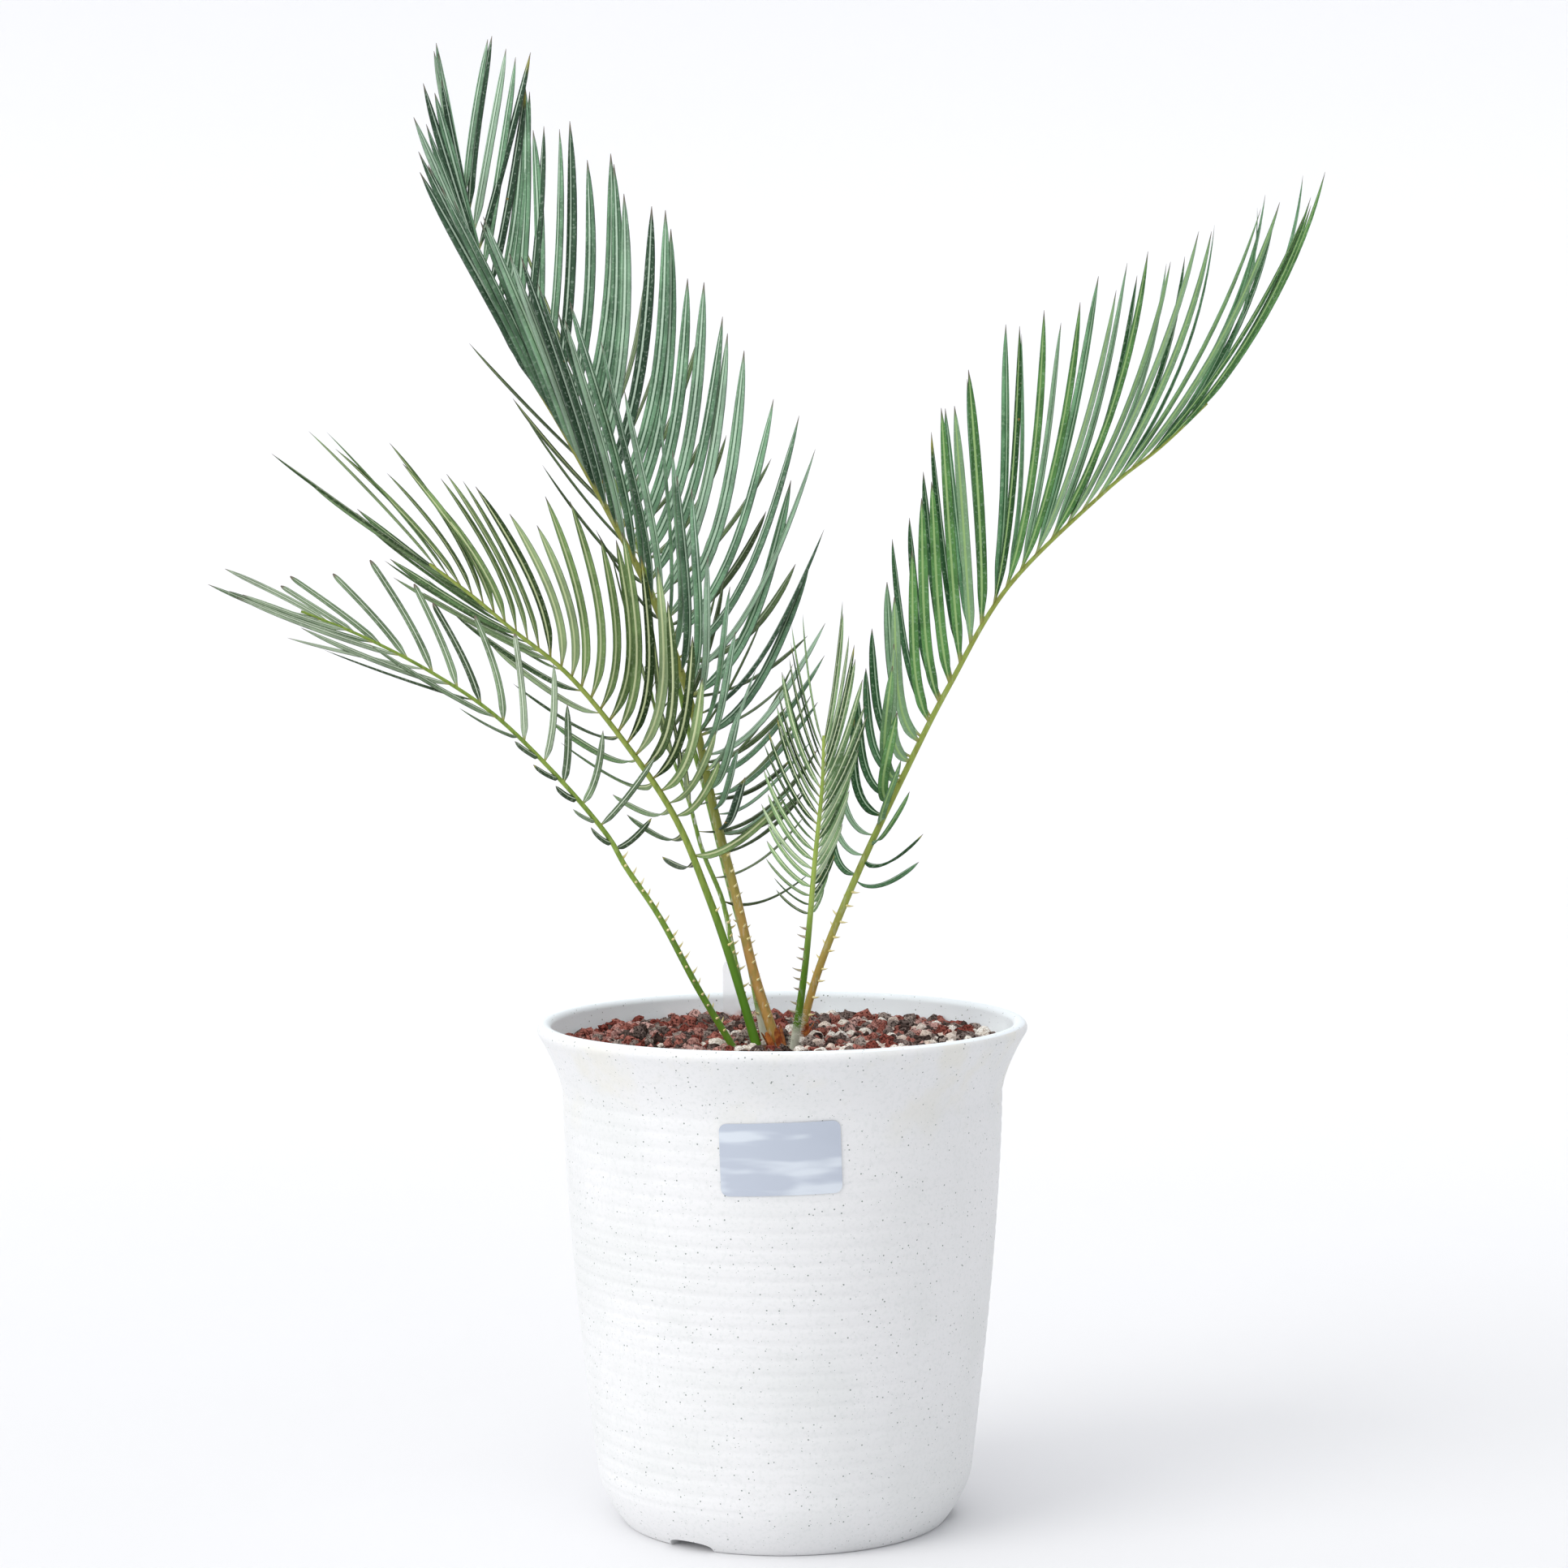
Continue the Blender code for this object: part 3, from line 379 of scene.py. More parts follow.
def dress(made, finish, angle=40.0):
    """Shade an object smooth, with its sharp edges kept, and give it its material."""
    made.data.shade_smooth()
    made.data.set_sharp_from_angle(angle=radians(angle))
    made.data.materials.clear()
    made.data.materials.append(finish)
    return made


def ring(radius, sides):
    """Points on a circle."""
    return [(radius * cos(tau * k / sides), radius * sin(tau * k / sides)) for k in range(sides)]


def ring_faces(low, high, sides):
    """The faces between two rings of points, each given by the number of its first point."""
    return [(low + k, high + k, high + (k + 1) % sides, low + (k + 1) % sides) for k in range(sides)]


def line_mesh(lines):
    """Open lines of (point, half width, back, along, tint), ready to be swept."""
    points = []
    edges = []
    for line in lines:
        edges += [(len(points) + k, len(points) + k + 1) for k in range(len(line) - 1)]
        points += line
    made = add_mesh("lines", [p[0] for p in points], edges, [])
    store(made, "half", [p[1] * MM for p in points])
    store(made, "along", [p[3] for p in points])
    store(made, "tint", [p[4] for p in points])
    store(made, "back", [value for p in points for value in p[2]], "FLOAT_VECTOR")
    return made


def section_object(section):
    """A closed cross-section of (out of the back, across, under) in half widths."""
    edges = [(k, (k + 1) % len(section)) for k in range(len(section))]
    made = add_mesh("section", [(p[0], p[1], 0) for p in section], edges, [], Vector)
    store(made, "across", [p[1] for p in section])
    store(made, "under", [p[2] for p in section])
    return made


# Node helpers

def node(tree, kind, inputs=None, **settings):
    """Add a node: properties from settings, sockets from inputs, each a value, a link or a node."""
    made = tree.nodes.new(kind)
    for key, value in settings.items():
        setattr(made, key, value)
    for key, value in (inputs or {}).items():
        if isinstance(value, bpy.types.Node):
            value = value.outputs[0]
        if isinstance(value, bpy.types.NodeSocket):
            tree.links.new(value, made.inputs[key])
        else:
            made.inputs[key].default_value = value
    return made


def new_tree(name, **inputs):
    """A geometry node tree with named inputs after its geometry, and what it is given."""
    tree = bpy.data.node_groups.new(name, "GeometryNodeTree")
    tree.interface.new_socket("Made", in_out="OUTPUT", socket_type="NodeSocketGeometry")
    for title, kind in {"Source": "Geometry", **inputs}.items():
        tree.interface.new_socket(title, in_out="INPUT", socket_type="NodeSocket" + kind)
    return tree, node(tree, "NodeGroupInput").outputs


def end_tree(tree, geometry, finish):
    """End a tree in plain geometry with its material."""
    real = node(tree, "GeometryNodeRealizeInstances", {"Geometry": geometry})
    painted = node(tree, "GeometryNodeSetMaterial", {"Geometry": real, "Material": finish})
    node(tree, "NodeGroupOutput", {0: painted})
    return tree


def run_tree(name, source, tree, **values):
    """Run a tree on a source object and return the result as a plain mesh object."""
    modifier = source.modifiers.new("shape", "NODES")
    modifier.node_group = tree
    for item in tree.interface.items_tree:
        if item.in_out == "INPUT" and item.name in values:
            modifier[item.identifier] = values[item.name]
    mesh = evaluated(source)
    mesh.name = name
    bpy.data.objects.remove(source)
    face_outwards(mesh)
    return add_object(name, mesh)


def evaluated(source):
    """An object's mesh with its modifiers applied, after which they are cleared."""
    depsgraph = bpy.context.evaluated_depsgraph_get()
    mesh = bpy.data.meshes.new_from_object(source.evaluated_get(depsgraph))
    source.modifiers.clear()
    return mesh


def sweep_tree():
    """Sweep a cross-section along lines, sized by "half" and turned so that "back" is its back."""
    tree, given = new_tree("sweep_section", Section="Object", Finish="Material")
    lines = node(tree, "GeometryNodeMeshToCurve", {"Mesh": given["Source"]})
    back = node(tree, "GeometryNodeInputNamedAttribute", {"Name": "back"}, data_type="FLOAT_VECTOR")
    lines = node(tree, "GeometryNodeSetCurveNormal", {"Curve": lines, "Normal": back}, mode="FREE")
    half = node(tree, "GeometryNodeInputNamedAttribute", {"Name": "half"})
    shape = node(tree, "GeometryNodeObjectInfo", {"Object": given["Section"]}).outputs["Geometry"]
    section = node(tree, "GeometryNodeMeshToCurve", {"Mesh": shape})
    swept = node(tree, "GeometryNodeCurveToMesh",
                 {"Curve": lines, "Profile Curve": section, "Scale": half, "Fill Caps": True})
    shaded = node(tree, "GeometryNodeSetShadeSmooth", {"Geometry": swept})
    return end_tree(tree, shaded, given["Finish"])


def grain_tree():
    """Scatter grains on a surface, clear of the stalks, and keep those whose tone is in a range."""
    tree, given = new_tree("scatter_grains", Grains="Collection", Stalks="Object", From="Float",
                           To="Float", Smallest="Float", Largest="Float", Finish="Material")
    spread = node(tree, "GeometryNodeDistributePointsOnFaces",
                  {"Mesh": given["Source"], "Distance Min": GRAIN_SPACING * MM,
                   "Density Max": GRAIN_LIMIT, "Seed": GRAIN_SEED}, distribute_method="POISSON")
    # Points near a stalk are dropped
    place = node(tree, "GeometryNodeInputPosition")
    stalks = node(tree, "GeometryNodeObjectInfo", {"Object": given["Stalks"]}).outputs["Geometry"]
    away = node(tree, "GeometryNodeProximity", {"Geometry": stalks, "Sample Position": place},
                target_element="EDGES").outputs["Distance"]
    near = node(tree, "FunctionNodeCompare", {"A": away, "B": GRAIN_CLEAR * MM},
                operation="LESS_THAN")
    loose = node(tree, "GeometryNodeDeleteGeometry", {"Geometry": spread, "Selection": near})
    # Its own tone, its patch's and the slope's are added up, and other kinds' tones are dropped
    slope = node(tree, "ShaderNodeVectorMath", {0: place, 1: TONE_SLOPE},
                 operation="DOT_PRODUCT").outputs["Value"]
    patch = node(tree, "ShaderNodeTexNoise", {"Vector": place, "Scale": TONE_PATCH, "Detail": 0.0})
    patch = node(tree, "ShaderNodeMath", {0: patch, 1: TONE_FROM_PATCH}, operation="MULTIPLY")
    own = node(tree, "FunctionNodeRandomValue",
               {2: TONE_RANGE[0], 3: TONE_RANGE[1], "Seed": 11}).outputs[1]
    tone = node(tree, "ShaderNodeMath", {0: own, 1: patch}, operation="ADD")
    tone = node(tree, "ShaderNodeMath", {0: tone, 1: slope}, operation="ADD")
    low = node(tree, "FunctionNodeCompare", {"A": tone, "B": given["From"]}, operation="LESS_THAN")
    high = node(tree, "FunctionNodeCompare", {"A": tone, "B": given["To"]},
                operation="GREATER_EQUAL")
    other = node(tree, "FunctionNodeBooleanMath", {0: low, 1: high}, operation="OR")
    kept = node(tree, "GeometryNodeDeleteGeometry", {"Geometry": loose, "Selection": other})
    # Each grain has its own height, tint, turn and size
    up = node(tree, "FunctionNodeRandomValue", {2: -1.0, 3: 1.0, "Seed": 12}).outputs[1]
    up = node(tree, "ShaderNodeMath", {0: up, 1: GRAIN_LIFT * MM}, operation="MULTIPLY")
    offset = node(tree, "ShaderNodeCombineXYZ", {"Z": up})
    lifted = node(tree, "GeometryNodeSetPosition", {"Geometry": kept, "Offset": offset})
    tint = node(tree, "FunctionNodeRandomValue", {2: 0.0, 3: 1.0, "Seed": 13}).outputs[1]
    toned = node(tree, "GeometryNodeStoreNamedAttribute",
                 {"Geometry": lifted, "Name": "tint", "Value": tint})
    turn = node(tree, "FunctionNodeRandomValue",
                {0: (0.0, 0.0, 0.0), 1: (tau, tau, tau), "Seed": 14}, data_type="FLOAT_VECTOR")
    size = node(tree, "FunctionNodeRandomValue",
                {2: given["Smallest"], 3: given["Largest"], "Seed": 15}).outputs[1]
    kinds = node(tree, "GeometryNodeCollectionInfo",
                 {"Collection": given["Grains"], "Separate Children": True})
    grains = node(tree, "GeometryNodeInstanceOnPoints",
                  {"Points": toned, "Instance": kinds, "Pick Instance": True, "Rotation": turn,
                   "Scale": size})
    return end_tree(tree, grains, given["Finish"])


def hair_tree():
    """Stand short hairs on the lowest part of a stalk, up to a share of its length."""
    tree, given = new_tree("scatter_hairs", Hair="Object", Density="Float", To="Float", Seed="Int",
                           Finish="Material")
    along = node(tree, "GeometryNodeInputNamedAttribute", {"Name": "along"})
    bare = node(tree, "FunctionNodeCompare", {"A": along, "B": given["To"]},
                operation="GREATER_THAN")
    foot = node(tree, "GeometryNodeDeleteGeometry", {"Geometry": given["Source"], "Selection": bare})
    spread = node(tree, "GeometryNodeDistributePointsOnFaces",
                  {"Mesh": foot, "Density": given["Density"], "Seed": given["Seed"]})
    lean = node(tree, "FunctionNodeRandomValue",
                {0: HAIR_LEAN[0], 1: HAIR_LEAN[1], "Seed": 21}, data_type="FLOAT_VECTOR")
    out = node(tree, "ShaderNodeVectorMath", {0: spread.outputs["Normal"], 1: lean}, operation="ADD")
    turn = node(tree, "FunctionNodeAlignRotationToVector", {"Vector": out}, axis="Z")
    size = node(tree, "FunctionNodeRandomValue",
                {2: HAIR_SIZES[0], 3: HAIR_SIZES[1], "Seed": 22}).outputs[1]
    hair = node(tree, "GeometryNodeObjectInfo", {"Object": given["Hair"]}).outputs["Geometry"]
    hairs = node(tree, "GeometryNodeInstanceOnPoints",
                 {"Points": spread, "Instance": hair, "Rotation": turn, "Scale": size})
    return end_tree(tree, hairs, given["Finish"])


# Colours and materials

def colour(code):
    """An sRGB hex colour as linear red, green, blue and alpha."""
    values = [int(code[k:k + 2], 16) / 255 for k in (1, 3, 5)]
    linear = [v / 12.92 if v <= 0.04045 else ((v + 0.055) / 1.055) ** 2.4 for v in values]
    return (*linear, 1.0)


class Paint:
    """A Principled material in the making: colours are laid one over the other on its base."""

    def __init__(self, name, roughness, base, ior=1.5):
        self.made = bpy.data.materials.new(name)
        self.made.use_nodes = True
        self.tree = self.made.node_tree
        self.place = node(self.tree, "ShaderNodeTexCoord").outputs["Object"]
        self.body = colour(base)
        self.set("Roughness", roughness)
        self.set("IOR", ior)

    def set(self, socket, value):
        """Set one of the shader's own values."""
        self.tree.nodes["Principled BSDF"].inputs[socket].default_value = value

    def lay(self, code, *masks):
        """Lay a colour over the others, as strongly as its masks say when they are multiplied.

        A mask (value, low, high, start, end) changes smoothly from start to end while the value goes
        from low to high. Start and end are 0 and 1 where they aren't given, and (value,) is the value
        itself. 6, 7 and 2 are the node's colour sockets.
        """
        cover = 1.0
        for value, *change in masks:
            if change:
                value = node(self.tree, "ShaderNodeMapRange", dict(enumerate((value, *change))),
                             interpolation_type="SMOOTHSTEP")
            cover = node(self.tree, "ShaderNodeMath", {0: cover, 1: value}, operation="MULTIPLY")
        inputs = {0: cover, 6: self.body, 7: colour(code)}
        self.body = node(self.tree, "ShaderNodeMix", inputs, data_type="RGBA").outputs[2]

    def noise(self, size, detail=3.0, stretch=(1.0, 1.0, 1.0), roughness=0.5):
        """Noise on the object's own coordinates, with features of a size in millimetres."""
        scaled = node(self.tree, "ShaderNodeMapping", {"Vector": self.place, "Scale": stretch})
        return node(self.tree, "ShaderNodeTexNoise", {"Vector": scaled, "Scale": 1 / (size * MM),
                                                      "Detail": detail, "Roughness": roughness})

    def done(self, height=None, depth=0.0, strength=1.0):
        """Link the colours, and relief of a depth in millimetres where a height pattern is given."""
        shader = self.tree.nodes["Principled BSDF"]
        self.tree.links.new(self.body, shader.inputs["Base Color"])
        if height:
            relief = node(self.tree, "ShaderNodeBump",
                          {"Strength": strength, "Distance": depth * MM, "Height": height})
            self.tree.links.new(relief.outputs[0], shader.inputs["Normal"])
        return self.made


def leaf_material(name, blade, dark, stripe, under, rib, margin):
    """Leathery cycad leaflet with a thin wax bloom.

    The bloom makes the blade bluish and half matt, and it is thick on some leaflets and rubbed off
    others; many leaflets are also darkened at random as painted shade. The sunken middle is paler
    between two dark lines, the curled margins are dusky, and the midrib stands out pale below.
    yellow at its root and the very tip is dry.
    """
    leaf = Paint(name, 0.5, blade, ior=1.22)
    along, tint, under_side, across = [
        node(leaf.tree, "ShaderNodeAttribute", attribute_name=title).outputs["Fac"]
        for title in ("along", "tint", "under", "across")]
    across = node(leaf.tree, "ShaderNodeMath", {0: across}, operation="ABSOLUTE")
    below = (under_side, 0.45, 0.6)
    above = (under_side, 0.45, 0.6, 1.0, 0.0)
    # The underside, the bloom's thin and thick places, and painted shade on many whole leaflets
    leaf.lay(under, below)
    leaf.lay(dark, (leaf.noise(18.0, 2.0), 0.35, 0.7, 0.0, 0.5))
    leaf.lay(dark, (tint, 0.4, 1.0, 0.0, 0.9))
    leaf.lay(stripe, (tint, 0.0, 0.35, 0.38, 0.0))
    leaf.lay(stripe, (leaf.noise(1.6), 0.52, 0.66, 0.0, 0.2))
    # The dark lines beside the pale middle, the midrib below and the margins
    leaf.lay(dark, (across, 0.22, 0.30), (across, 0.30, 0.46, 1.0, 0.0), above)
    leaf.lay(stripe, (across, 0.10, 0.20, 0.65, 0.0), above)
    leaf.lay(rib, (across, 0.16, 0.28, 0.9, 0.0), below)
    leaf.lay(margin, (across, 0.86, 0.98, 0.0, 0.6))
    # Ripe tips, freckles, yellow roots and dry ends
    leaf.lay("#B9B04A", (along, 0.88, 0.97, 0.0, 0.7), (tint, 0.93, 0.95))
    leaf.lay("#8A7440", (leaf.noise(5.0, 4.0), 0.70, 0.76), (tint, 0.5, 0.9))
    leaf.lay("#A9A55E", (along, 0.015, 0.07, 0.9, 0.0))
    leaf.lay("#75695F", (along, 0.94, 0.995))
    return leaf.done(leaf.noise(1.2, 2.0), 0.12, 0.5)


def stalk_material(name, low, high, low_share, high_share, mottle, mottle_share, bloom, wool_share):
    """Leaf stalk: smooth waxy skin that goes from one colour to another on the way up.

    Older skin is corky and mottled, and grey wool or bloom is left round the foot.
    """
    skin = Paint(name, 0.42, low, ior=1.33)
    along = node(skin.tree, "ShaderNodeAttribute", attribute_name="along").outputs["Fac"]
    skin.lay(high, (along, low_share, high_share))
    skin.lay(mottle, (skin.noise(3.0, 5.0, (1.0, 1.0, 0.2)), 0.46, 0.60, 0.0, mottle_share))
    skin.lay("#D8DACB", (skin.noise(1.6, 3.0, (1.0, 1.0, 0.25)), 0.56, 0.66, 0.0, bloom))
    skin.lay("#CECEC0", (along, wool_share * 0.6, wool_share, 0.85, 0.0))
    return skin.done(skin.noise(1.0, 3.0, (1.0, 1.0, 0.3)), 0.2, 0.5)


def plain_material(name, low, high, size, roughness, depth, ior=1.4):
    """A dry natural surface that varies between two colours."""
    plain = Paint(name, roughness, low, ior)
    grain = plain.noise(size, 5.0)
    plain.lay(high, (grain, 0.35, 0.65))
    return plain.done(grain, depth)


def grain_material(name, shades, size, depth):
    """Porous rock: each grain has its own shade, with dark pits that the light doesn't reach."""
    rock = Paint(name, 0.95, shades[0], ior=1.2)
    tint = node(rock.tree, "ShaderNodeAttribute", attribute_name="tint").outputs["Fac"]
    rock.lay(shades[1], (tint, 0.1, 0.6))
    rock.lay(shades[2], (tint, 0.62, 0.92))
    pores = rock.noise(size, 4.0, roughness=0.7)
    rock.lay(shades[3], (pores, 0.40, 0.54, 0.9, 0.0))
    return rock.done(pores, depth)


def pot_material():
    """Polypropylene moulded with mineral filler: matt, cool white, with dark specks in the plastic.

    It is faintly mottled and yellowed near the rim, and its inner face is painted paler, as painted
    light.
    """
    plastic = Paint("filled_polypropylene", 0.55, "#E8E8E9", ior=1.49)
    plastic.lay("#E2E3E3", (plastic.noise(60.0), 0.4, 0.7))
    plastic.lay("#CDD1D0", (plastic.noise(2.0, 5.0), 0.46, 0.74, 0.0, 0.3))
    height = node(plastic.tree, "ShaderNodeSeparateXYZ", {0: plastic.place}).outputs[2]
    plastic.lay("#E3E0D3", (height, 0.2, 0.26), (plastic.noise(35.0, 4.0), 0.5, 0.7, 0.0, 0.45))
    inner = node(plastic.tree, "ShaderNodeAttribute", attribute_name="inner").outputs["Fac"]
    # Painted light: the inner face is painted paler and bluer, as if more light came onto it
    plastic.lay("#F4FAFF", (inner,))
    for pitch, reach, share, shade in ((3.6, 0.15, 0.5, "#66726C"), (2.2, 0.13, 0.4, "#8C9692")):
        cells = node(plastic.tree, "ShaderNodeTexVoronoi",
                     {"Vector": plastic.place, "Scale": 1 / (pitch * MM), "Randomness": 1.0})
        chosen = node(plastic.tree, "ShaderNodeSeparateColor", {0: cells.outputs["Color"]})
        speck = (cells.outputs["Distance"], reach * 0.6, reach, 0.85, 0.0)
        plastic.lay(shade, (chosen, share, share + 0.02), speck)
    return plastic.done(plastic.noise(1.4, 4.0), 0.06)


def label_material():
    """Silvered polyester film: bluish satin metal that lies in shallow waves and catches light; pale
    streaks along the waves are painted highlights.
    """
    film = Paint("silvered_film", 0.32, "#C2CAD7")
    film.set("Metallic", 0.35)
    waves_and_highlights = film.noise(15.0, 2.0, (0.3, 0.3, 1.5))
    film.lay("#BBC2D0", (film.noise(40.0),))
    # Painted highlights: paler streaks laid along the waves
    film.lay("#E2E9F1", (waves_and_highlights, 0.44, 0.60, 0.0, 0.75))
    return film.done(waves_and_highlights, 0.8, 0.35)


# Pot

def pot_radius(height):
    """The pot's outside radius under the lip: round bottom, slightly convex wall, then flare."""
    if height < BULGE_HEIGHT:
        under = 1 - height / BULGE_HEIGHT
        return BULGE_RADIUS - (BULGE_RADIUS - FOOT_RADIUS) * under ** BULGE_POWER
    if height < NECK_HEIGHT:
        left = (NECK_HEIGHT - height) / (NECK_HEIGHT - BULGE_HEIGHT)
        return NECK_RADIUS - (NECK_RADIUS - BULGE_RADIUS) * left ** WALL_POWER
    flare = (height - NECK_HEIGHT) / (LIP_HEIGHT - NECK_HEIGHT)
    return NECK_RADIUS + (RIM_RADIUS - LIP_OVERHANG - NECK_RADIUS) * flare ** WALL_POWER


def groove(height, turn):
    """How deep a turning groove is at a place on the wall: shallow, and fading in and out."""
    if not TURNING_LOW < height < TURNING_HIGH:
        return 0.0
    x, y = TURNING_PATCHES * cos(turn), TURNING_PATCHES * sin(turn)
    fade = TURNING_MEAN + TURNING_VARIES * noise.noise(Vector((x, y, height / TURNING_FADE)))
    wave = max(0.0, cos(tau * height / TURNING_PITCH)) ** TURNING_SHARP
    return TURNING_DEPTH * wave * max(TURNING_LEAST, min(1.0, fade))


def steps_between(low, high, step):
    """Evenly spaced numbers from low up to, but not including, high."""
    count = max(1, round((high - low) / step))
    return [low + (high - low) * k / count for k in range(count)]


def pot_profile():
    """The pot's section as (radius, height), from under its floor, up the outside and down inside."""
    outer = [(pot_radius(z), z) for z in steps_between(0.0, LIP_HEIGHT, RING_STEP)]
    outer[0] = (pot_radius(FOOT_EDGE), FOOT_EDGE)
    flare = pot_radius(LIP_HEIGHT)
    inside = flare - LIP_WALL
    turns = [pi / 2 * k / LIP_STEPS for k in range(LIP_STEPS + 1)]
    lip = [(flare + (RIM_RADIUS - flare) * sin(turn),
            LIP_HEIGHT + (LIP_BELLY - LIP_HEIGHT) * turn * 2 / pi) for turn in turns]
    lip += [(LIP_CREST + (RIM_RADIUS - LIP_CREST) * cos(turn),
             LIP_BELLY + (POT_HEIGHT - LIP_BELLY) * sin(turn)) for turn in turns[1:]]
    lip += [(inside + (LIP_CREST - inside) * (1 - sin(turn)),
             LIP_HOLLOW + (POT_HEIGHT - LIP_HOLLOW) * cos(turn)) for turn in turns[1:]]
    walls = [(pot_radius(z) - WALL, z)
             for z in steps_between(FLOOR_TOP + INNER_STEP, LIP_HEIGHT, INNER_STEP)[::-1]]
    corner = pot_radius(FLOOR_TOP) - WALL - INNER_STEP
    foot = [(0, FLOOR_UNDER), (FOOT_INNER_RADIUS - FOOT_DRAFT, FLOOR_UNDER),
            (FOOT_INNER_RADIUS, FOOT_BEVEL), (FOOT_INNER_RADIUS + FOOT_EDGE, 0),
            (FOOT_RADIUS - FOOT_ROUND, 0)]
    return foot + outer + lip + walls + [(corner, FLOOR_TOP), (0, FLOOR_TOP)]


def turned(name, profile):
    """Turn a closed (radius, height) profile that ends on the axis, and cut the turning grooves."""
    points = []
    rings = []
    for radius, height in profile:
        if radius == 0:
            rings.append([len(points)] * SEGMENTS)
            points.append((0, 0, height))
            continue
        rings.append(list(range(len(points), len(points) + SEGMENTS)))
        outside = radius > pot_radius(min(height, LIP_HEIGHT)) - WALL / 2
        for k in range(SEGMENTS):
            turn = tau * k / SEGMENTS
            here = radius - (groove(height, turn) if outside else 0.0)
            points.append((here * cos(turn), here * sin(turn), height))
    faces = []
    for lower, upper in zip(rings, rings[1:]):
        for k in range(SEGMENTS):
            near = (k + 1) % SEGMENTS
            faces.append(list(dict.fromkeys([lower[k], lower[near], upper[near], upper[k]])))
    return solid(name, points, faces)


def cut(target, outline, place):
    """Cut a prism out of an object: place(a, b, side) gives the point for its near and far ends."""
    count = len(outline)
    points = [place(a, b, side) for side in (0, 1) for a, b in outline]
    faces = [list(range(count)), list(range(count, 2 * count))] + ring_faces(0, count, count)
    cutter = solid("cutter", points, faces)
    modifier = target.modifiers.new("cut", "BOOLEAN")
    modifier.operation = "DIFFERENCE"
    modifier.object = cutter
    target.data = evaluated(target)
    bpy.data.objects.remove(cutter)


def make_pot(finish):
    """The turned pot with its foot notches and drain holes."""
    pot = turned("speckled_pot", pot_profile())
    half = NOTCH_WIDTH / 2
    arch = [(half * cos(pi * k / ARCH_STEPS), NOTCH_HEIGHT * sqrt(max(0.0, sin(pi * k / ARCH_STEPS))))
            for k in range(ARCH_STEPS + 1)]
    arch = [(half, -NOTCH_HEIGHT)] + arch + [(-half, -NOTCH_HEIGHT)]
    reach = (FOOT_INNER_RADIUS - NOTCH_HEIGHT, BULGE_RADIUS)
    for k in range(NOTCHES):
        spin = Matrix.Rotation(NOTCH_TURN + tau * k / NOTCHES, 3, "Z")
        cut(pot, arch, lambda a, b, side: spin @ Vector((reach[side], a, b)))
    for k in range(DRAINS):
        turn = tau * (k + 0.5) / DRAINS
        x, y = DRAIN_CIRCLE * cos(turn), DRAIN_CIRCLE * sin(turn)
        cut(pot, ring(DRAIN_RADIUS, DRAIN_SIDES),
            lambda a, b, side: (x + a, y + b, side * (FLOOR_TOP + FLOOR_UNDER)))
    # Points on the inner face are marked, so that the material can paint that face paler as painted
    # light
    inner = []
    for vertex in pot.data.vertices:
        x, y, z = (vertex.co - AXIS) / MM
        inner.append(float(z > FLOOR_TOP and hypot(x, y) < pot_radius(z) - WALL * INNER_FROM))
    store(pot, "inner", inner)
    return dress(pot, finish, 35.0)


def make_label(finish):
    """The blank label: a thin film with round corners, lying on the pot's wall in shallow waves."""
    points = []
    for side in (0, 1):
        for j in range(LABEL_ROWS + 1):
            for k in range(LABEL_COLUMNS + 1):
                x = LABEL_LEFT + (LABEL_RIGHT - LABEL_LEFT) * k / LABEL_COLUMNS
                z = LABEL_BOTTOM + (LABEL_TOP - LABEL_BOTTOM) * j / LABEL_ROWS
                x, z = tilt_label(*round_corner(x, z))
                place = Vector((x / LABEL_WAVE_LONG, z / LABEL_WAVE_WIDE, LABEL_WAVE_SLICE))
                wave = LABEL_WAVE * (1 + noise.noise(place))
                radius = pot_radius(z) + LABEL_GAP + wave + LABEL_THICK * side
                points.append((x, -sqrt(radius ** 2 - x ** 2), z))
    stride = LABEL_COLUMNS + 1
    sheet = stride * (LABEL_ROWS + 1)
    faces = []
    for j in range(LABEL_ROWS):
        for k in range(LABEL_COLUMNS):
            a = j * stride + k
            faces.append((a, a + 1, a + stride + 1, a + stride))
            faces.append(tuple(sheet + v for v in (a, a + stride, a + stride + 1, a + 1)))
    edge = list(range(LABEL_COLUMNS)) + list(range(LABEL_COLUMNS, sheet - 1, stride))
    edge += list(range(sheet - 1, sheet - stride, -1)) + list(range(sheet - stride, 0, -stride))
    for a, b in zip(edge, edge[1:] + edge[:1]):
        faces.append((a, b, b + sheet, a + sheet))
    return dress(solid("blank_label", points, faces), finish)


def tilt_label(x, z):
    """Turn a point of the label about the label's middle."""
    middle_x, middle_z = (LABEL_LEFT + LABEL_RIGHT) / 2, (LABEL_BOTTOM + LABEL_TOP) / 2
    off_x, off_z = x - middle_x, z - middle_z
    return (middle_x + off_x * cos(LABEL_TILT) - off_z * sin(LABEL_TILT),
            middle_z + off_z * cos(LABEL_TILT) + off_x * sin(LABEL_TILT))


def round_corner(x, z):
    """Move a point of the label's square grid in where it lies outside the rounded corner."""
    centre_x = min(max(x, LABEL_LEFT + LABEL_CORNER), LABEL_RIGHT - LABEL_CORNER)
    centre_z = min(max(z, LABEL_BOTTOM + LABEL_CORNER), LABEL_TOP - LABEL_CORNER)
    off_x, off_z = x - centre_x, z - centre_z
    if off_x == 0 or off_z == 0:
        return x, z
    shift = max(abs(off_x), abs(off_z)) / hypot(off_x, off_z)
    return centre_x + off_x * shift, centre_z + off_z * shift


# Grit

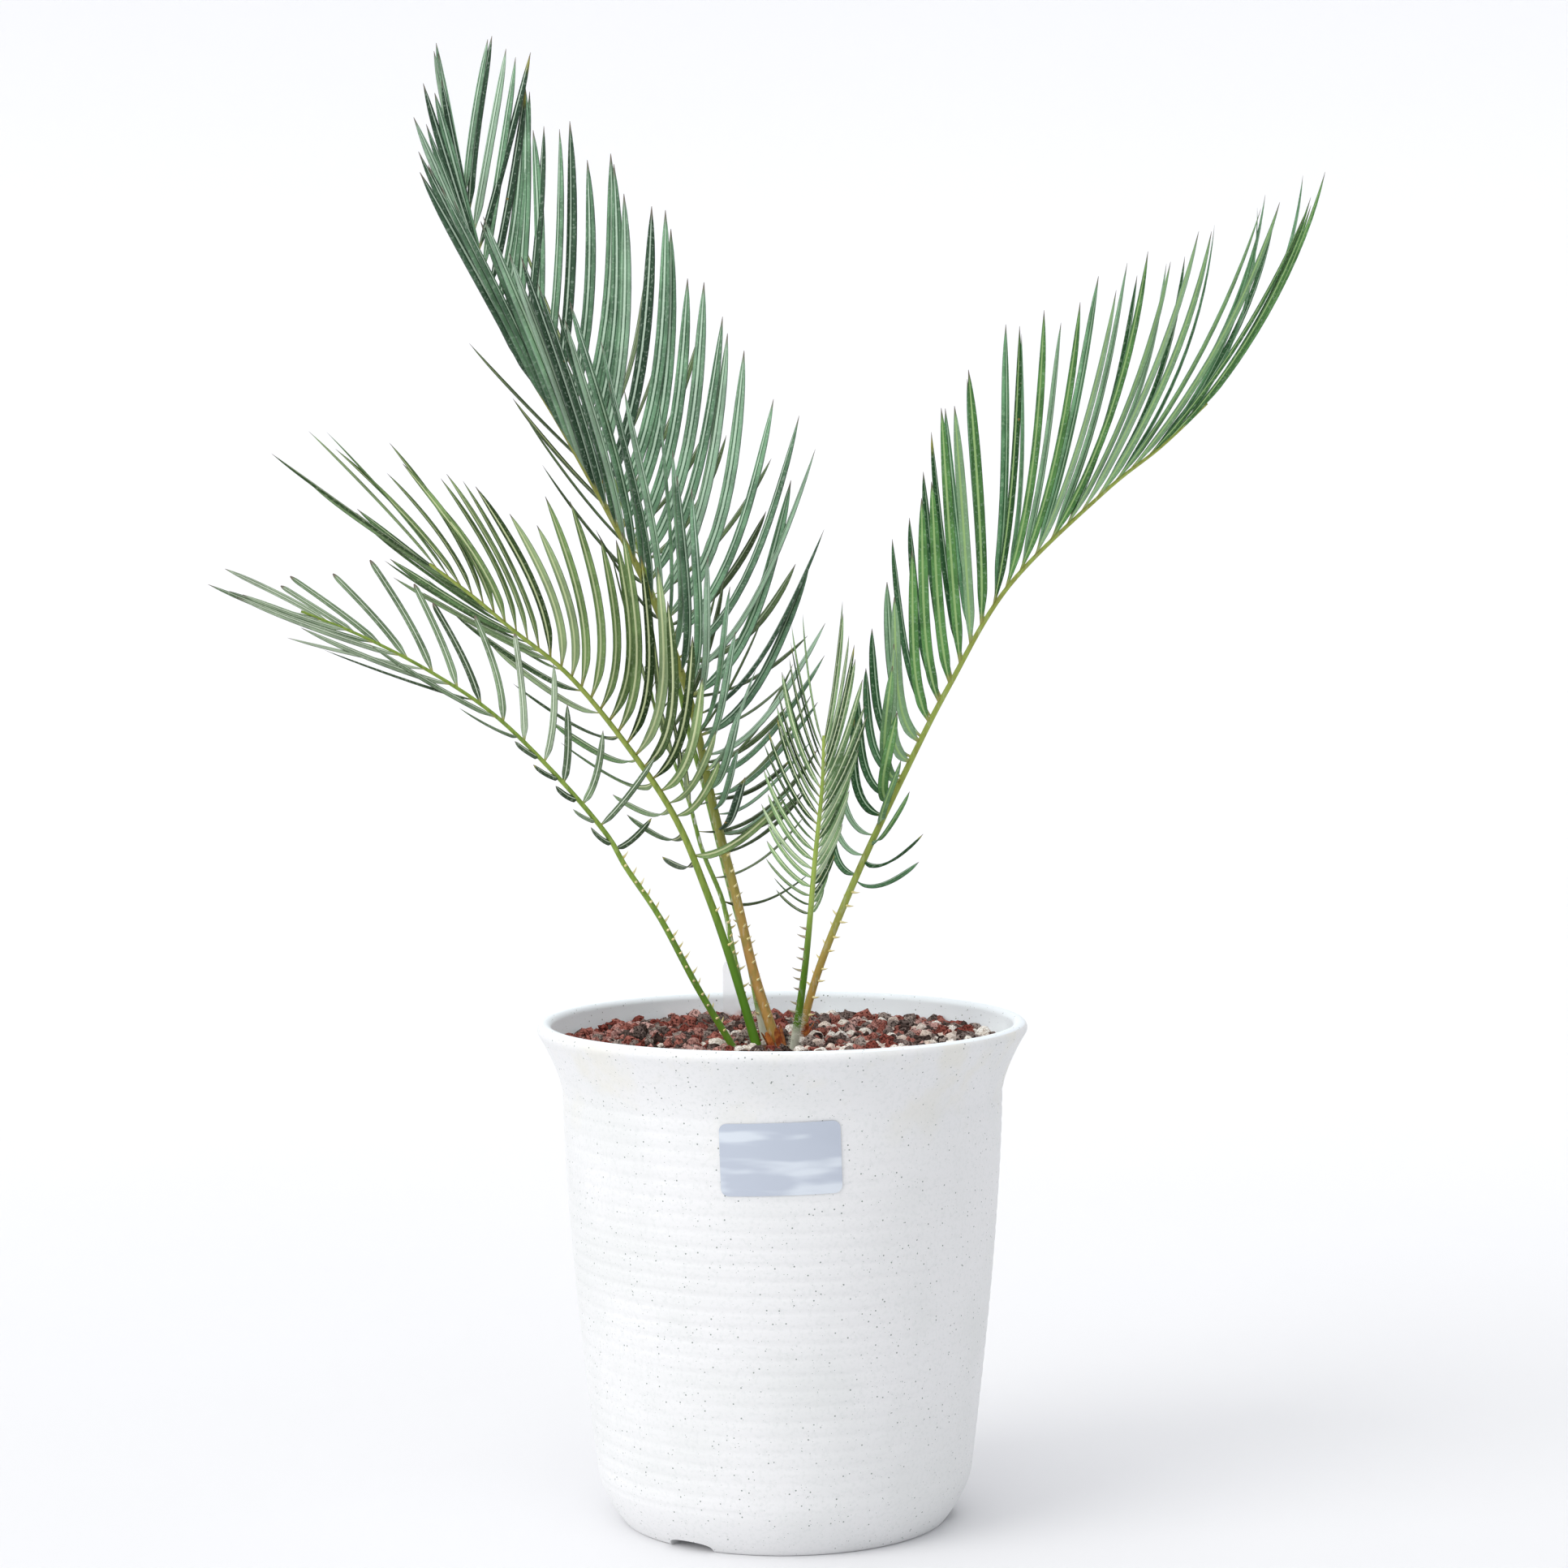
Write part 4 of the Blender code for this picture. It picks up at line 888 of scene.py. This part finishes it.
def grit_height(x, y):
    """The grit's surface, as in the part's source."""
    radius = hypot(x, y)
    mound = SOIL_MOUND * (1 - (radius / NECK_RADIUS) ** 2)
    large = sin(SOIL_LUMP * x + 1.3) * sin(SOIL_LUMP * y)
    small = sin(SOIL_LUMP * (2 * y + x)) * sin(SOIL_LUMP * 2 * x + 2)
    edge = min(1.0, max(0.0, 1 - radius / NECK_RADIUS) * SOIL_EDGE)
    return SOIL_AT_WALL + mound + SOIL_RELIEF / 2 * (large + small / 2) * edge


def grit_disc(reach):
    """A disc of rings on the bed of the grit: its points and faces."""
    flat = [(0, 0)]
    for k in range(1, DISC_RINGS + 1):
        flat += ring(reach * k / DISC_RINGS, DISC_SIDES)
    points = [(x, y, grit_height(x, y) - BED_DROP) for x, y in flat]
    faces = [(0, 1 + k, 1 + (k + 1) % DISC_SIDES) for k in range(DISC_SIDES)]
    for start in range(1, len(points) - DISC_SIDES, DISC_SIDES):
        faces += ring_faces(start, start + DISC_SIDES, DISC_SIDES)
    return points, faces


def make_bed(finish):
    """The dark bed under the loose grains: dusty lava, made near black as painted shade in the gaps
    between them. A thick plate whose top follows the grit.
    """
    points, faces = grit_disc(pot_radius(SOIL_AT_WALL - BED_DROP) - WALL - BED_GAP)
    base = len(points)
    low = SOIL_AT_WALL - BED_DEPTH
    points += [(x, y, low) for x, y in ring(pot_radius(low) - WALL - BED_GAP, DISC_SIDES)]
    faces += ring_faces(base - DISC_SIDES, base, DISC_SIDES)
    faces.append([base + k for k in range(DISC_SIDES)])
    return dress(solid("grit_bed", points, faces), finish)


def grain_kinds(name, count, crag, seed):
    """A collection of rocks of unit radius: lumpy, and pitted by as much as "crag"."""
    kinds = bpy.data.collections.new(name)
    bpy.context.scene.collection.children.link(kinds)
    draw = random.Random(seed)
    for k in range(count):
        shape = bmesh.new()
        bmesh.ops.create_icosphere(shape, subdivisions=2, radius=1.0)
        away = Vector([draw.uniform(0, 50) for _ in range(3)])
        squash = Vector([draw.uniform(*GRAIN_SQUASH) for _ in range(3)])
        for vertex in shape.verts:
            lump = GRAIN_LUMP * noise.noise(vertex.co * LUMP_SCALE + away)
            pits = crag * noise.noise(vertex.co * PIT_SCALE + away)
            vertex.co = vertex.co * (1 + lump + pits) * squash
        mesh = bpy.data.meshes.new(f"{name}_{k}")
        shape.to_mesh(mesh)
        shape.free()
        kinds.objects.link(bpy.data.objects.new(f"{name}_{k}", mesh))
    return kinds


def make_grit(stalk_lines):
    """Loose grains of red and black lava, pumice and a few ochre ones, on top of the grit."""
    tree = grain_tree()
    lava = grain_kinds("lava", LAVA_KINDS, LAVA_CRAG, seed=31)
    pumice = grain_kinds("pumice", PUMICE_KINDS, PUMICE_CRAG, seed=32)
    feet = line_mesh(stalk_lines)
    # Each kind: its shapes, its range of tones, its sizes, and its material with shades and pores
    kinds = [
        ("red_lava_grains", lava, -9.0, 0.40, 2.0, 5.0,
         grain_material("red_scoria", ("#904A40", "#B87468", "#DAB0A8", "#301410"), 1.3, 0.9)),
        ("black_lava_grains", lava, 0.40, 0.82, 2.0, 4.8,
         grain_material("black_scoria", ("#54443F", "#85746E", "#B0A098", "#1C1210"), 1.3, 0.9)),
        ("pumice_grains", pumice, 0.82, 1.20, 2.5, 5.4,
         grain_material("pumice", ("#EEE6DC", "#FAF6F0", "#E6D2C6", "#B0A092"), 1.1, 0.35)),
        ("ochre_grains", pumice, 1.20, 9.0, 1.8, 3.0,
         grain_material("ochre_clay", ("#C79A52", "#D2B06C", "#B87E45", "#7A5230"), 1.1, 0.3)),
    ]
    made = []
    for name, shapes, low, high, least, most, finish in kinds:
        points, faces = grit_disc(GRIT_REACH)
        made.append(run_tree(name, add_mesh("ground", points, [], faces), tree, Grains=shapes,
                             Stalks=feet, From=low, To=high, Smallest=least * MM, Largest=most * MM,
                             Finish=finish))
    for used in (lava, pumice):
        for rock in list(used.objects):
            bpy.data.objects.remove(rock)
        bpy.data.collections.remove(used)
    bpy.data.objects.remove(feet)
    return made


# Fronds

def read(profile, share):
    """A profile's value at a share of the way along it, between its evenly spaced values."""
    if len(profile) == 1:
        return profile[0]
    place = min(max(share, 0.0), 1.0) * (len(profile) - 1)
    low = min(floor(place), len(profile) - 2)
    return profile[low] + (profile[low + 1] - profile[low]) * (place - low)


class Stalk:
    """A frond's stalk: a smooth curve through its route, read by distance from the crown."""

    def __init__(self, frond):
        self.frond = frond
        self.points = curve_through([Vector(p) for p in frond["route"]], CURVE_STEPS)
        self.reach = [0.0]
        for a, b in zip(self.points, self.points[1:]):
            self.reach.append(self.reach[-1] + (b - a).length)
        self.length = self.reach[-1]

    def at(self, distance):
        """The stalk's centre at a distance from the crown."""
        distance = min(max(distance, 0.0), self.length)
        low = 0
        while low < len(self.reach) - 2 and self.reach[low + 1] < distance:
            low += 1
        span = self.reach[low + 1] - self.reach[low]
        return self.points[low].lerp(self.points[low + 1], (distance - self.reach[low]) / span)

    def radius(self, distance):
        """The stalk's thickness there."""
        thick, thin = self.frond["stalk"]
        return thick + (thin - thick) * (distance / self.length) ** STALK_TAPER

    def frame(self, distance, share):
        """The stalk's direction, its left side and its upper face, turned by the frond's roll."""
        ahead = (self.at(distance + LOOK) - self.at(distance - LOOK)).normalized()
        heading = radians(self.frond["heading"])
        level = Vector((-sin(heading), cos(heading), 0))
        side = (level - ahead * level.dot(ahead)).normalized()
        upper = ahead.cross(side)
        roll = radians(read(self.frond["roll"], share))
        return ahead, side * cos(roll) + upper * sin(roll), upper * cos(roll) - side * sin(roll)


def curve_through(points, steps):
    """Points on a smooth curve through the given ones."""
    chain = [points[0] * 2 - points[1]] + points + [points[-1] * 2 - points[-2]]
    made = []
    for a, b, c, d in zip(chain, chain[1:], chain[2:], chain[3:]):
        for k in range(steps):
            t = k / steps
            made.append((b * 2 + (c - a) * t + (a * 2 - b * 5 + c * 4 - d) * t ** 2
                         + (b * 3 - a - c * 3 + d) * t ** 3) / 2)
    return made + [points[-1]]


def trace(stalk, distance, share, hand, draw, lift=0.0, trim=1.0):
    """One leaflet's midline, with the direction across its blade and out of its back at each point."""
    frond = stalk.frond
    ahead, side, upper = stalk.frame(distance, share)
    side = side * hand
    row = (hand + 1) // 2
    leave = radians(read(frond["leave"][row], share) + draw[0] * frond["wander"])
    end = radians(read(frond["end"][row], share) + draw[1] * frond["wander"])
    rise = radians(read(frond["rise"][row], share) + lift)
    cant = radians(read(frond["cant"][row], share) + CANT_SPREAD * draw[1])
    hook = read(frond["hook"], share)
    length = read(frond["size"][row], share) * (1 + frond["ragged"] * draw[2]) * trim
    point = stalk.at(distance)
    line = []
    for k in range(TRACE_STEPS + 1):
        bent = 1 - (1 - k / TRACE_STEPS) ** hook
        angle = leave + (end - leave) * bent
        tilt = rise + radians(TILT_SPREAD * draw[3]) * bent
        out = side * cos(tilt) + upper * sin(tilt)
        across = out * cos(angle) - ahead * sin(angle)
        back = side * sin(tilt) - upper * cos(tilt)
        line.append((point.copy(), across * cos(cant) - back * sin(cant),
                     back * cos(cant) + across * sin(cant)))
        point += (ahead * cos(angle) + out * sin(angle)) * length / TRACE_STEPS
    return line


def is_clear(line, others):
    """Whether a leaflet keeps its distance from everything on other fronds."""
    return all(others.find(point)[2] > CLEAR for point, _, _ in line)


def is_lost(frond, hand, share, k):
    """Whether a leaflet is lost: on one side, below a share of the frond, all but one in so many."""
    side, below, step = frond.get("lost", (0, 0.0, 1))
    return hand == side and share < below and k % step != 0


def grow(frond, others):
    """The leaflets of one frond; one that would touch another frond is bent, cut short or lost."""
    stalk = Stalk(frond)
    random_draw = random.Random(frond["seed"])
    leaflets = []
    for hand in (-1, 1):
        for k in range(frond["pairs"]):
            share = (k + (0.25 if hand > 0 else 0.0)) / frond["pairs"]
            distance = frond["bare"] + (stalk.length - frond["bare"]) * share
            draw = [random_draw.uniform(-1, 1) for _ in range(4)]
            if is_lost(frond, hand, share, k):
                continue
            for lift, trim in BENDS:
                line = trace(stalk, distance, share, hand, draw, lift, trim)
                if is_clear(line, others):
                    leaflets.append((share, hand, line))
                    break
    return stalk, leaflets


def others_tree(points):
    """A search tree of the points that later leaflets keep clear of."""
    tree = KDTree(len(points))
    for k, point in enumerate(points):
        tree.insert(point, k)
    tree.balance()
    return tree


def grow_all():
    """Grow the fronds in turn, each clear of all stalks and of the leaflets grown before it."""
    stalks = {frond["name"]: Stalk(frond) for frond in FRONDS}
    taken = []
    grown = {}
    for frond in FRONDS:
        points = list(taken)
        for name, stalk in stalks.items():
            if name != frond["name"]:
                points += [stalk.at(d) for d in range(0, int(stalk.length), STALK_POINTS)]
        grown[frond["name"]] = grow(frond, others_tree(points))
        taken += [point for _, _, line in grown[frond["name"]][1] for point, _, _ in line]
    return grown


def soft_step(value):
    """A smooth change from 0 to 1."""
    value = min(max(value, 0.0), 1.0)
    return value * value * (3 - 2 * value)


def leaf_width(place, blunt):
    """A leaflet's width at a share of its length, as a share of its full width."""
    root = ROOT_WIDTH + (1 - ROOT_WIDTH) * soft_step(place / ROOT_SHARE)
    if blunt:
        past = max(0.0, (place - BLUNT_FROM) / (1 - BLUNT_FROM))
        return root * (1 - BLUNT_LOSS * place) * max(BLUNT_WIDTH, sqrt(max(0.0, 1 - past ** 2)))
    return root * max(TIP_WIDTH, 1 - place ** TAPER_POWER)


def leaf_lines(frond, leaflets):
    """The leaflets' midlines with their widths, each with a slight twist and a tint of its own."""
    draw = random.Random(frond["seed"] + LEAF_SEED)
    low, high = frond.get("blunt", (2.0, 2.0))
    lines = []
    for share, hand, line in leaflets:
        tint = draw.random()
        twist = radians(TWIST * draw.uniform(-1, 1))
        half = frond["width"] * frond.get("slim", 1.0) * read(WIDTH_ALONG, share) / 2
        blunt = hand < 0 and low < share < high
        made = []
        for step in STATIONS:
            place = step / TRACE_STEPS
            point, across, back = line[step]
            turn = twist * place
            made.append((point, half * leaf_width(place, blunt),
                         back * cos(turn) + across * sin(turn), place, tint))
        lines.append(made)
    return lines


def stalk_line(frond, stalk):
    """The stalk's centre line, from its foot in the stem to its tip."""
    foot = Vector(frond["route"][0]) - Vector((0, 0, SOCKET_DEPTH))
    line = [(foot, stalk.radius(0), stalk.frame(0, 0)[2], 0.0, 0.5)]
    count = round(stalk.length / STALK_STEP)
    for k in range(count + 1):
        distance = stalk.length * k / count
        share = distance / stalk.length
        line.append((stalk.at(distance), stalk.radius(distance), stalk.frame(distance, share)[2],
                     share, 0.5))
    return line


def thorn_lines(frond, stalk):
    """Short curved thorns in two rows up the bare stalk."""
    draw = random.Random(frond["seed"] + THORN_SEED)
    low, high, pitch = frond["thorns"]
    lines = []
    for hand in (-1, 1):
        for k in range(int((high - low) / pitch)):
            distance = low + pitch * (k + (0.5 if hand < 0 else 0.0))
            distance += draw.uniform(-THORN_STRAY, THORN_STRAY)
            ahead, side, upper = stalk.frame(distance, 0.0)
            lift = draw.uniform(*frond.get("lean", (LEAN, LEAN))[(hand + 1) // 2])
            out = (side * hand + upper * lift).normalized()
            root = stalk.at(distance) + out * (stalk.radius(distance) - THORN_SUNK)
            length = THORN_LENGTH * draw.uniform(*THORN_SIZES)
            lines.append([(root + out * length * t + ahead * THORN_CURVE * t * t,
                           THORN_HALF * (1 - t) ** THORN_TAPER + THORN_POINT, ahead, t,
                           draw.random()) for t in THORN_STEPS])
    return lines


def scale_lines(stalk, count, seed):
    """Dry, pointed scales that stand round the foot of a stalk and curl away from it."""
    draw = random.Random(seed)
    lines = []
    ahead, side, upper = stalk.frame(2.0, 0.0)
    for k in range(count):
        turn = tau * (k + draw.uniform(-SCALE_STRAY, SCALE_STRAY)) / count
        out = side * cos(turn) + upper * sin(turn)
        length = draw.uniform(*SCALE_LENGTHS)
        flare = draw.uniform(*SCALE_FLARE)
        foot = stalk.at(0.5) + out * stalk.radius(0)
        lines.append([(foot + ahead * length * t + out * (SCALE_GAP + flare * t * t),
                       SCALE_HALF * sqrt(max(0.02, (1 - t) * (0.35 + t))), out, t, draw.random())
                      for t in SCALE_STEPS])
    return lines


def hair_object():
    """One bent hair that thins to its tip, along +Z."""
    points = []
    for k, (bend, rise) in enumerate(HAIR_PATH):
        thick = HAIR_HALF * (1 - HAIR_THINS * k / (len(HAIR_PATH) - 1))
        points += [Vector((bend * HAIR_BEND + x, y, rise * HAIR_LENGTH)) * MM
                   for x, y in ring(thick, HAIR_SIDES)]
    last = len(points) - HAIR_SIDES
    faces = [tuple(range(HAIR_SIDES)), tuple(range(last, len(points)))]
    for start in range(0, last, HAIR_SIDES):
        faces += ring_faces(start, start + HAIR_SIDES, HAIR_SIDES)
    return add_mesh("hair", points, [], faces, Vector)


# The camera and the light

def make_camera():
    """The photograph's camera: 2 m in front of the pot, slightly above the grit, a long lens."""
    ahead = Vector((0, cos(CAMERA_PITCH), -sin(CAMERA_PITCH)))
    up = Vector((0, sin(CAMERA_PITCH), cos(CAMERA_PITCH)))
    right = Vector((1, 0, 0))
    across = right * cos(CAMERA_ROLL) + up * sin(CAMERA_ROLL)
    above = up * cos(CAMERA_ROLL) - right * sin(CAMERA_ROLL)
    data = bpy.data.cameras.new("camera")
    data.sensor_width = SENSOR_WIDTH
    data.lens = CAMERA_LENS
    data.clip_end = CAMERA_END
    made = add_object("camera", data)
    made.matrix_world = (Matrix.Translation(to_row(CAMERA_PLACE))
                         @ Matrix((across, above, -ahead)).transposed().to_4x4())
    bpy.context.scene.camera = made


def paper_material():
    """White studio paper: matt, brighter where it rises behind, and clear from behind.

    It is clear so that the back of the plant can be looked at too.
    """
    paper = Paint("white_paper", 0.9, "#E9E9EB")
    paper.lay("#E7E7E9", (paper.noise(300.0),))
    height = node(paper.tree, "ShaderNodeSeparateXYZ", {0: paper.place}).outputs[2]
    paper.lay("#F2F2F4", (height, *PAPER_FADE))
    rear = node(paper.tree, "ShaderNodeNewGeometry").outputs["Backfacing"]
    seen = node(paper.tree, "ShaderNodeMixShader",
                {0: rear, 1: paper.tree.nodes["Principled BSDF"],
                 2: node(paper.tree, "ShaderNodeBsdfTransparent")})
    surface = paper.tree.nodes["Material Output"].inputs["Surface"]
    paper.tree.links.new(seen.outputs[0], surface)
    return paper.done()


def make_stage():
    """A seamless paper sweep, a sky that is brighter on the left, and two soft suns."""
    start = PAPER_BACK - PAPER_BEND
    turns = [pi / 2 * k / BEND_STEPS for k in range(1, BEND_STEPS + 1)]
    path = [(PAPER_FRONT, 0.0), (start, 0.0)]
    path += [(start + PAPER_BEND * sin(turn), PAPER_BEND - PAPER_BEND * cos(turn)) for turn in turns]
    path += [(PAPER_BACK, PAPER_TOP)]
    points = [(x, y, z) for y, z in path for x in (-PAPER_HALF, PAPER_HALF)]
    faces = [(k, k + 1, k + 3, k + 2) for k in range(0, len(points) - 2, 2)]
    sweep = add_mesh("paper_sweep", points, [], faces, Vector)
    sweep.data.shade_smooth()
    sweep.data.materials.append(paper_material())
    world = bpy.data.worlds.new("studio")
    world.use_nodes = True
    tree = world.node_tree
    sky = tree.nodes["Background"]
    sky.inputs["Color"].default_value = colour("#FAFCFF")
    toward = node(tree, "ShaderNodeTexCoord").outputs["Generated"]
    sideways = node(tree, "ShaderNodeSeparateXYZ", {0: toward})
    strength = node(tree, "ShaderNodeMapRange", dict(enumerate((sideways, *SKY_CHANGE))),
                    interpolation_type="SMOOTHSTEP")
    tree.links.new(strength.outputs[0], sky.inputs["Strength"])
    bpy.context.scene.world = world
    for name, energy, angle, where in SUNS:
        light = bpy.data.lights.new(name, "SUN")
        light.energy = energy
        light.angle = radians(angle)
        light.color = colour("#FFFEFB")[:3]
        lamp = add_object(name, light)
        lamp.rotation_euler = Vector(where).to_track_quat("Z", "Y").to_euler()
    bpy.context.scene.view_settings.view_transform = "Standard"


# Putting the piece together

# Each frond's leaflets: blade, shaded blade, pale middle, underside, midrib and margin
LEAF_LOOKS = {
    "tall": ("#86B08C", "#183020", "#D8ECD8", "#90B07C", "#D8E2A2", "#5A5E5A"),
    "right": ("#72A278", "#1A441E", "#CCE6C8", "#669A56", "#AACC86", "#46563E"),
    "left": ("#628454", "#16300F", "#D4E2BC", "#98B676", "#E8F0BE", "#4E5A3C"),
    "low": ("#8CA480", "#2C4028", "#DCE6D2", "#A0B88C", "#E0E8BC", "#5A5C52"),
    "small": ("#769A62", "#20401C", "#F0F8E4", "#96BA82", "#E2EEC4", "#4A5E3E"),
    "inner": ("#687E54", "#323F26", "#AEBC9E", "#7E9262", "#BCC88A", "#4A5040"),
    "back": ("#6C8258", "#36442A", "#AEBCA0", "#809468", "#BECA8E", "#4C5044"),
}
# Each stalk: its colours low and high, where one turns into the other, the mottling's colour and
# share, the bloom's share, and how far up its foot is woolly
STALK_LOOKS = {
    "tall": ("#B68C4C", "#8E9248", 0.08, 0.27, "#7C803E", 0.45, 0.2, 0.01),
    "right": ("#AE8C44", "#9AAA50", 0.07, 0.22, "#8A8A3E", 0.5, 0.15, 0.02),
    "left": ("#527F1A", "#93A24C", 0.10, 0.42, "#466E1C", 0.35, 0.0, 0.005),
    "low": ("#608626", "#8AA446", 0.10, 0.40, "#4E6E20", 0.4, 0.06, 0.012),
    "small": ("#52791A", "#98AE52", 0.25, 0.55, "#466A1C", 0.25, 0.1, 0.10),
    "inner": ("#80A648", "#86A44C", 0.05, 0.30, "#588234", 0.5, 0.85, 0.10),
    "back": ("#88A44E", "#88A650", 0.05, 0.30, "#628238", 0.5, 0.7, 0.06),
}
# Thorns are straw yellow, and grey on the small frond
THORN_TONES = ("#E4D48A", "#F2E8B8")
GREY_THORN_TONES = ("#9A8E74", "#B7AE92")
# Hairs a square metre, and up to which share of the stalk
WOOL = {
    "small": (1500000.0, 0.14),
    "inner": (500000.0, 0.12),
    "low": (200000.0, 0.03),
    "back": (300000.0, 0.08),
}
# How many dry scales stand round which stalk's foot, and their seed
SCALES = (("tall", 7, 51), ("right", 4, 52))


def place_piece(piece, slot, *nodes):
    """Give a finished piece to the frame."""
    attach(piece, "root")
    if nodes:
        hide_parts(*nodes)


def swept(name, lines, tree, section, finish):
    """A piece made by sweeping a cross-section along lines."""
    return run_tree(name, line_mesh(lines), tree, Section=section, Finish=finish)


def dress_fronds():
    """Sweep every frond's leaflets, stalk and thorns, and add wool and scales at their feet."""
    grown = grow_all()
    tree = sweep_tree()
    hairs = hair_tree()
    blade = section_object(LEAF_SECTION)
    rod, spine = [section_object([(x, y, 0) for x, y in ring(1.0, sides)])
                  for sides in (STALK_SIDES, THORN_SIDES)]
    hair = hair_object()
    wool = plain_material("leaf_wool", "#C9CBBB", "#E2E2D6", 2.0, 0.9, 0.1)
    feet = []
    for frond in FRONDS:
        name = frond["name"]
        stalk, leaflets = grown[name]
        leaf = leaf_material(f"leaflet_{name}", *LEAF_LOOKS[name])
        skin = stalk_material(f"stalk_{name}", *STALK_LOOKS[name])
        tones = GREY_THORN_TONES if name == "small" else THORN_TONES
        thorn = plain_material(f"thorn_{name}", *tones, 2.0, 0.5, 0.05)
        line = stalk_line(frond, stalk)
        feet.append(line)
        place_piece(swept(f"{name}_leaflets", leaf_lines(frond, leaflets), tree, blade, leaf),
                    "glaucous_leaf", f"frond_{name}")
        stem = swept(f"{name}_stalk", [line], tree, rod, skin)
        if name in WOOL:
            density, reach = WOOL[name]
            place_piece(run_tree(f"{name}_wool", add_object("woolly", stem.data.copy()), hairs,
                                 Hair=hair, Density=density, To=reach, Seed=frond["seed"],
                                 Finish=wool), "glaucous_leaf")
        place_piece(stem, "glaucous_leaf", f"frond_{name}")
        place_piece(swept(f"{name}_thorns", thorn_lines(frond, stalk), tree, spine, thorn),
                    "glaucous_leaf")
    dry = plain_material("dry_scale", "#8E3F1A", "#C77A3A", 3.0, 0.6, 0.15)
    scales = []
    for name, count, seed in SCALES:
        scales += scale_lines(grown[name][0], count, seed)
    place_piece(swept("dry_scales", scales, tree, blade, dry), "stem_bark")
    for used in (blade, rod, spine, hair):
        bpy.data.objects.remove(used)
    return feet


def dress_node(name, finish):
    """Give a solid that stays its material."""
    mesh = frame["nodes"][name].data
    mesh.materials.clear()
    mesh.materials.append(finish)


def tag_material():
    """Thin white polystyrene sheet: smooth, faintly see-through, with soft light coming through."""
    finish = plain_material("tag_polystyrene", "#FDFDFE", "#F9FAFB", 20.0, 0.5, 0.02, ior=1.15)
    shader = finish.node_tree.nodes["Principled BSDF"]
    shader.inputs["Transmission Weight"].default_value = 0.8
    return finish


make_camera()
make_stage()
dress_node("stem", plain_material("stem_bark", "#4A3020", "#7A5636", 3.0, 0.9, 0.8))
dress_node("plant_tag", tag_material())
place_piece(make_pot(pot_material()), "speckled_plastic", "pot")
place_piece(make_label(label_material()), "silver_label", "label")
# The bed's near-black colour is partly dusty lava and partly painted shade between the grains
dust_and_shade = plain_material("lava_dust_and_shade", "#1E110E", "#44261F", 2.5, 0.95, 1.0, ior=1.2)
place_piece(make_bed(dust_and_shade), "lava_grit", "soil")
for grains in make_grit(dress_fronds()):
    place_piece(grains, "lava_grit")
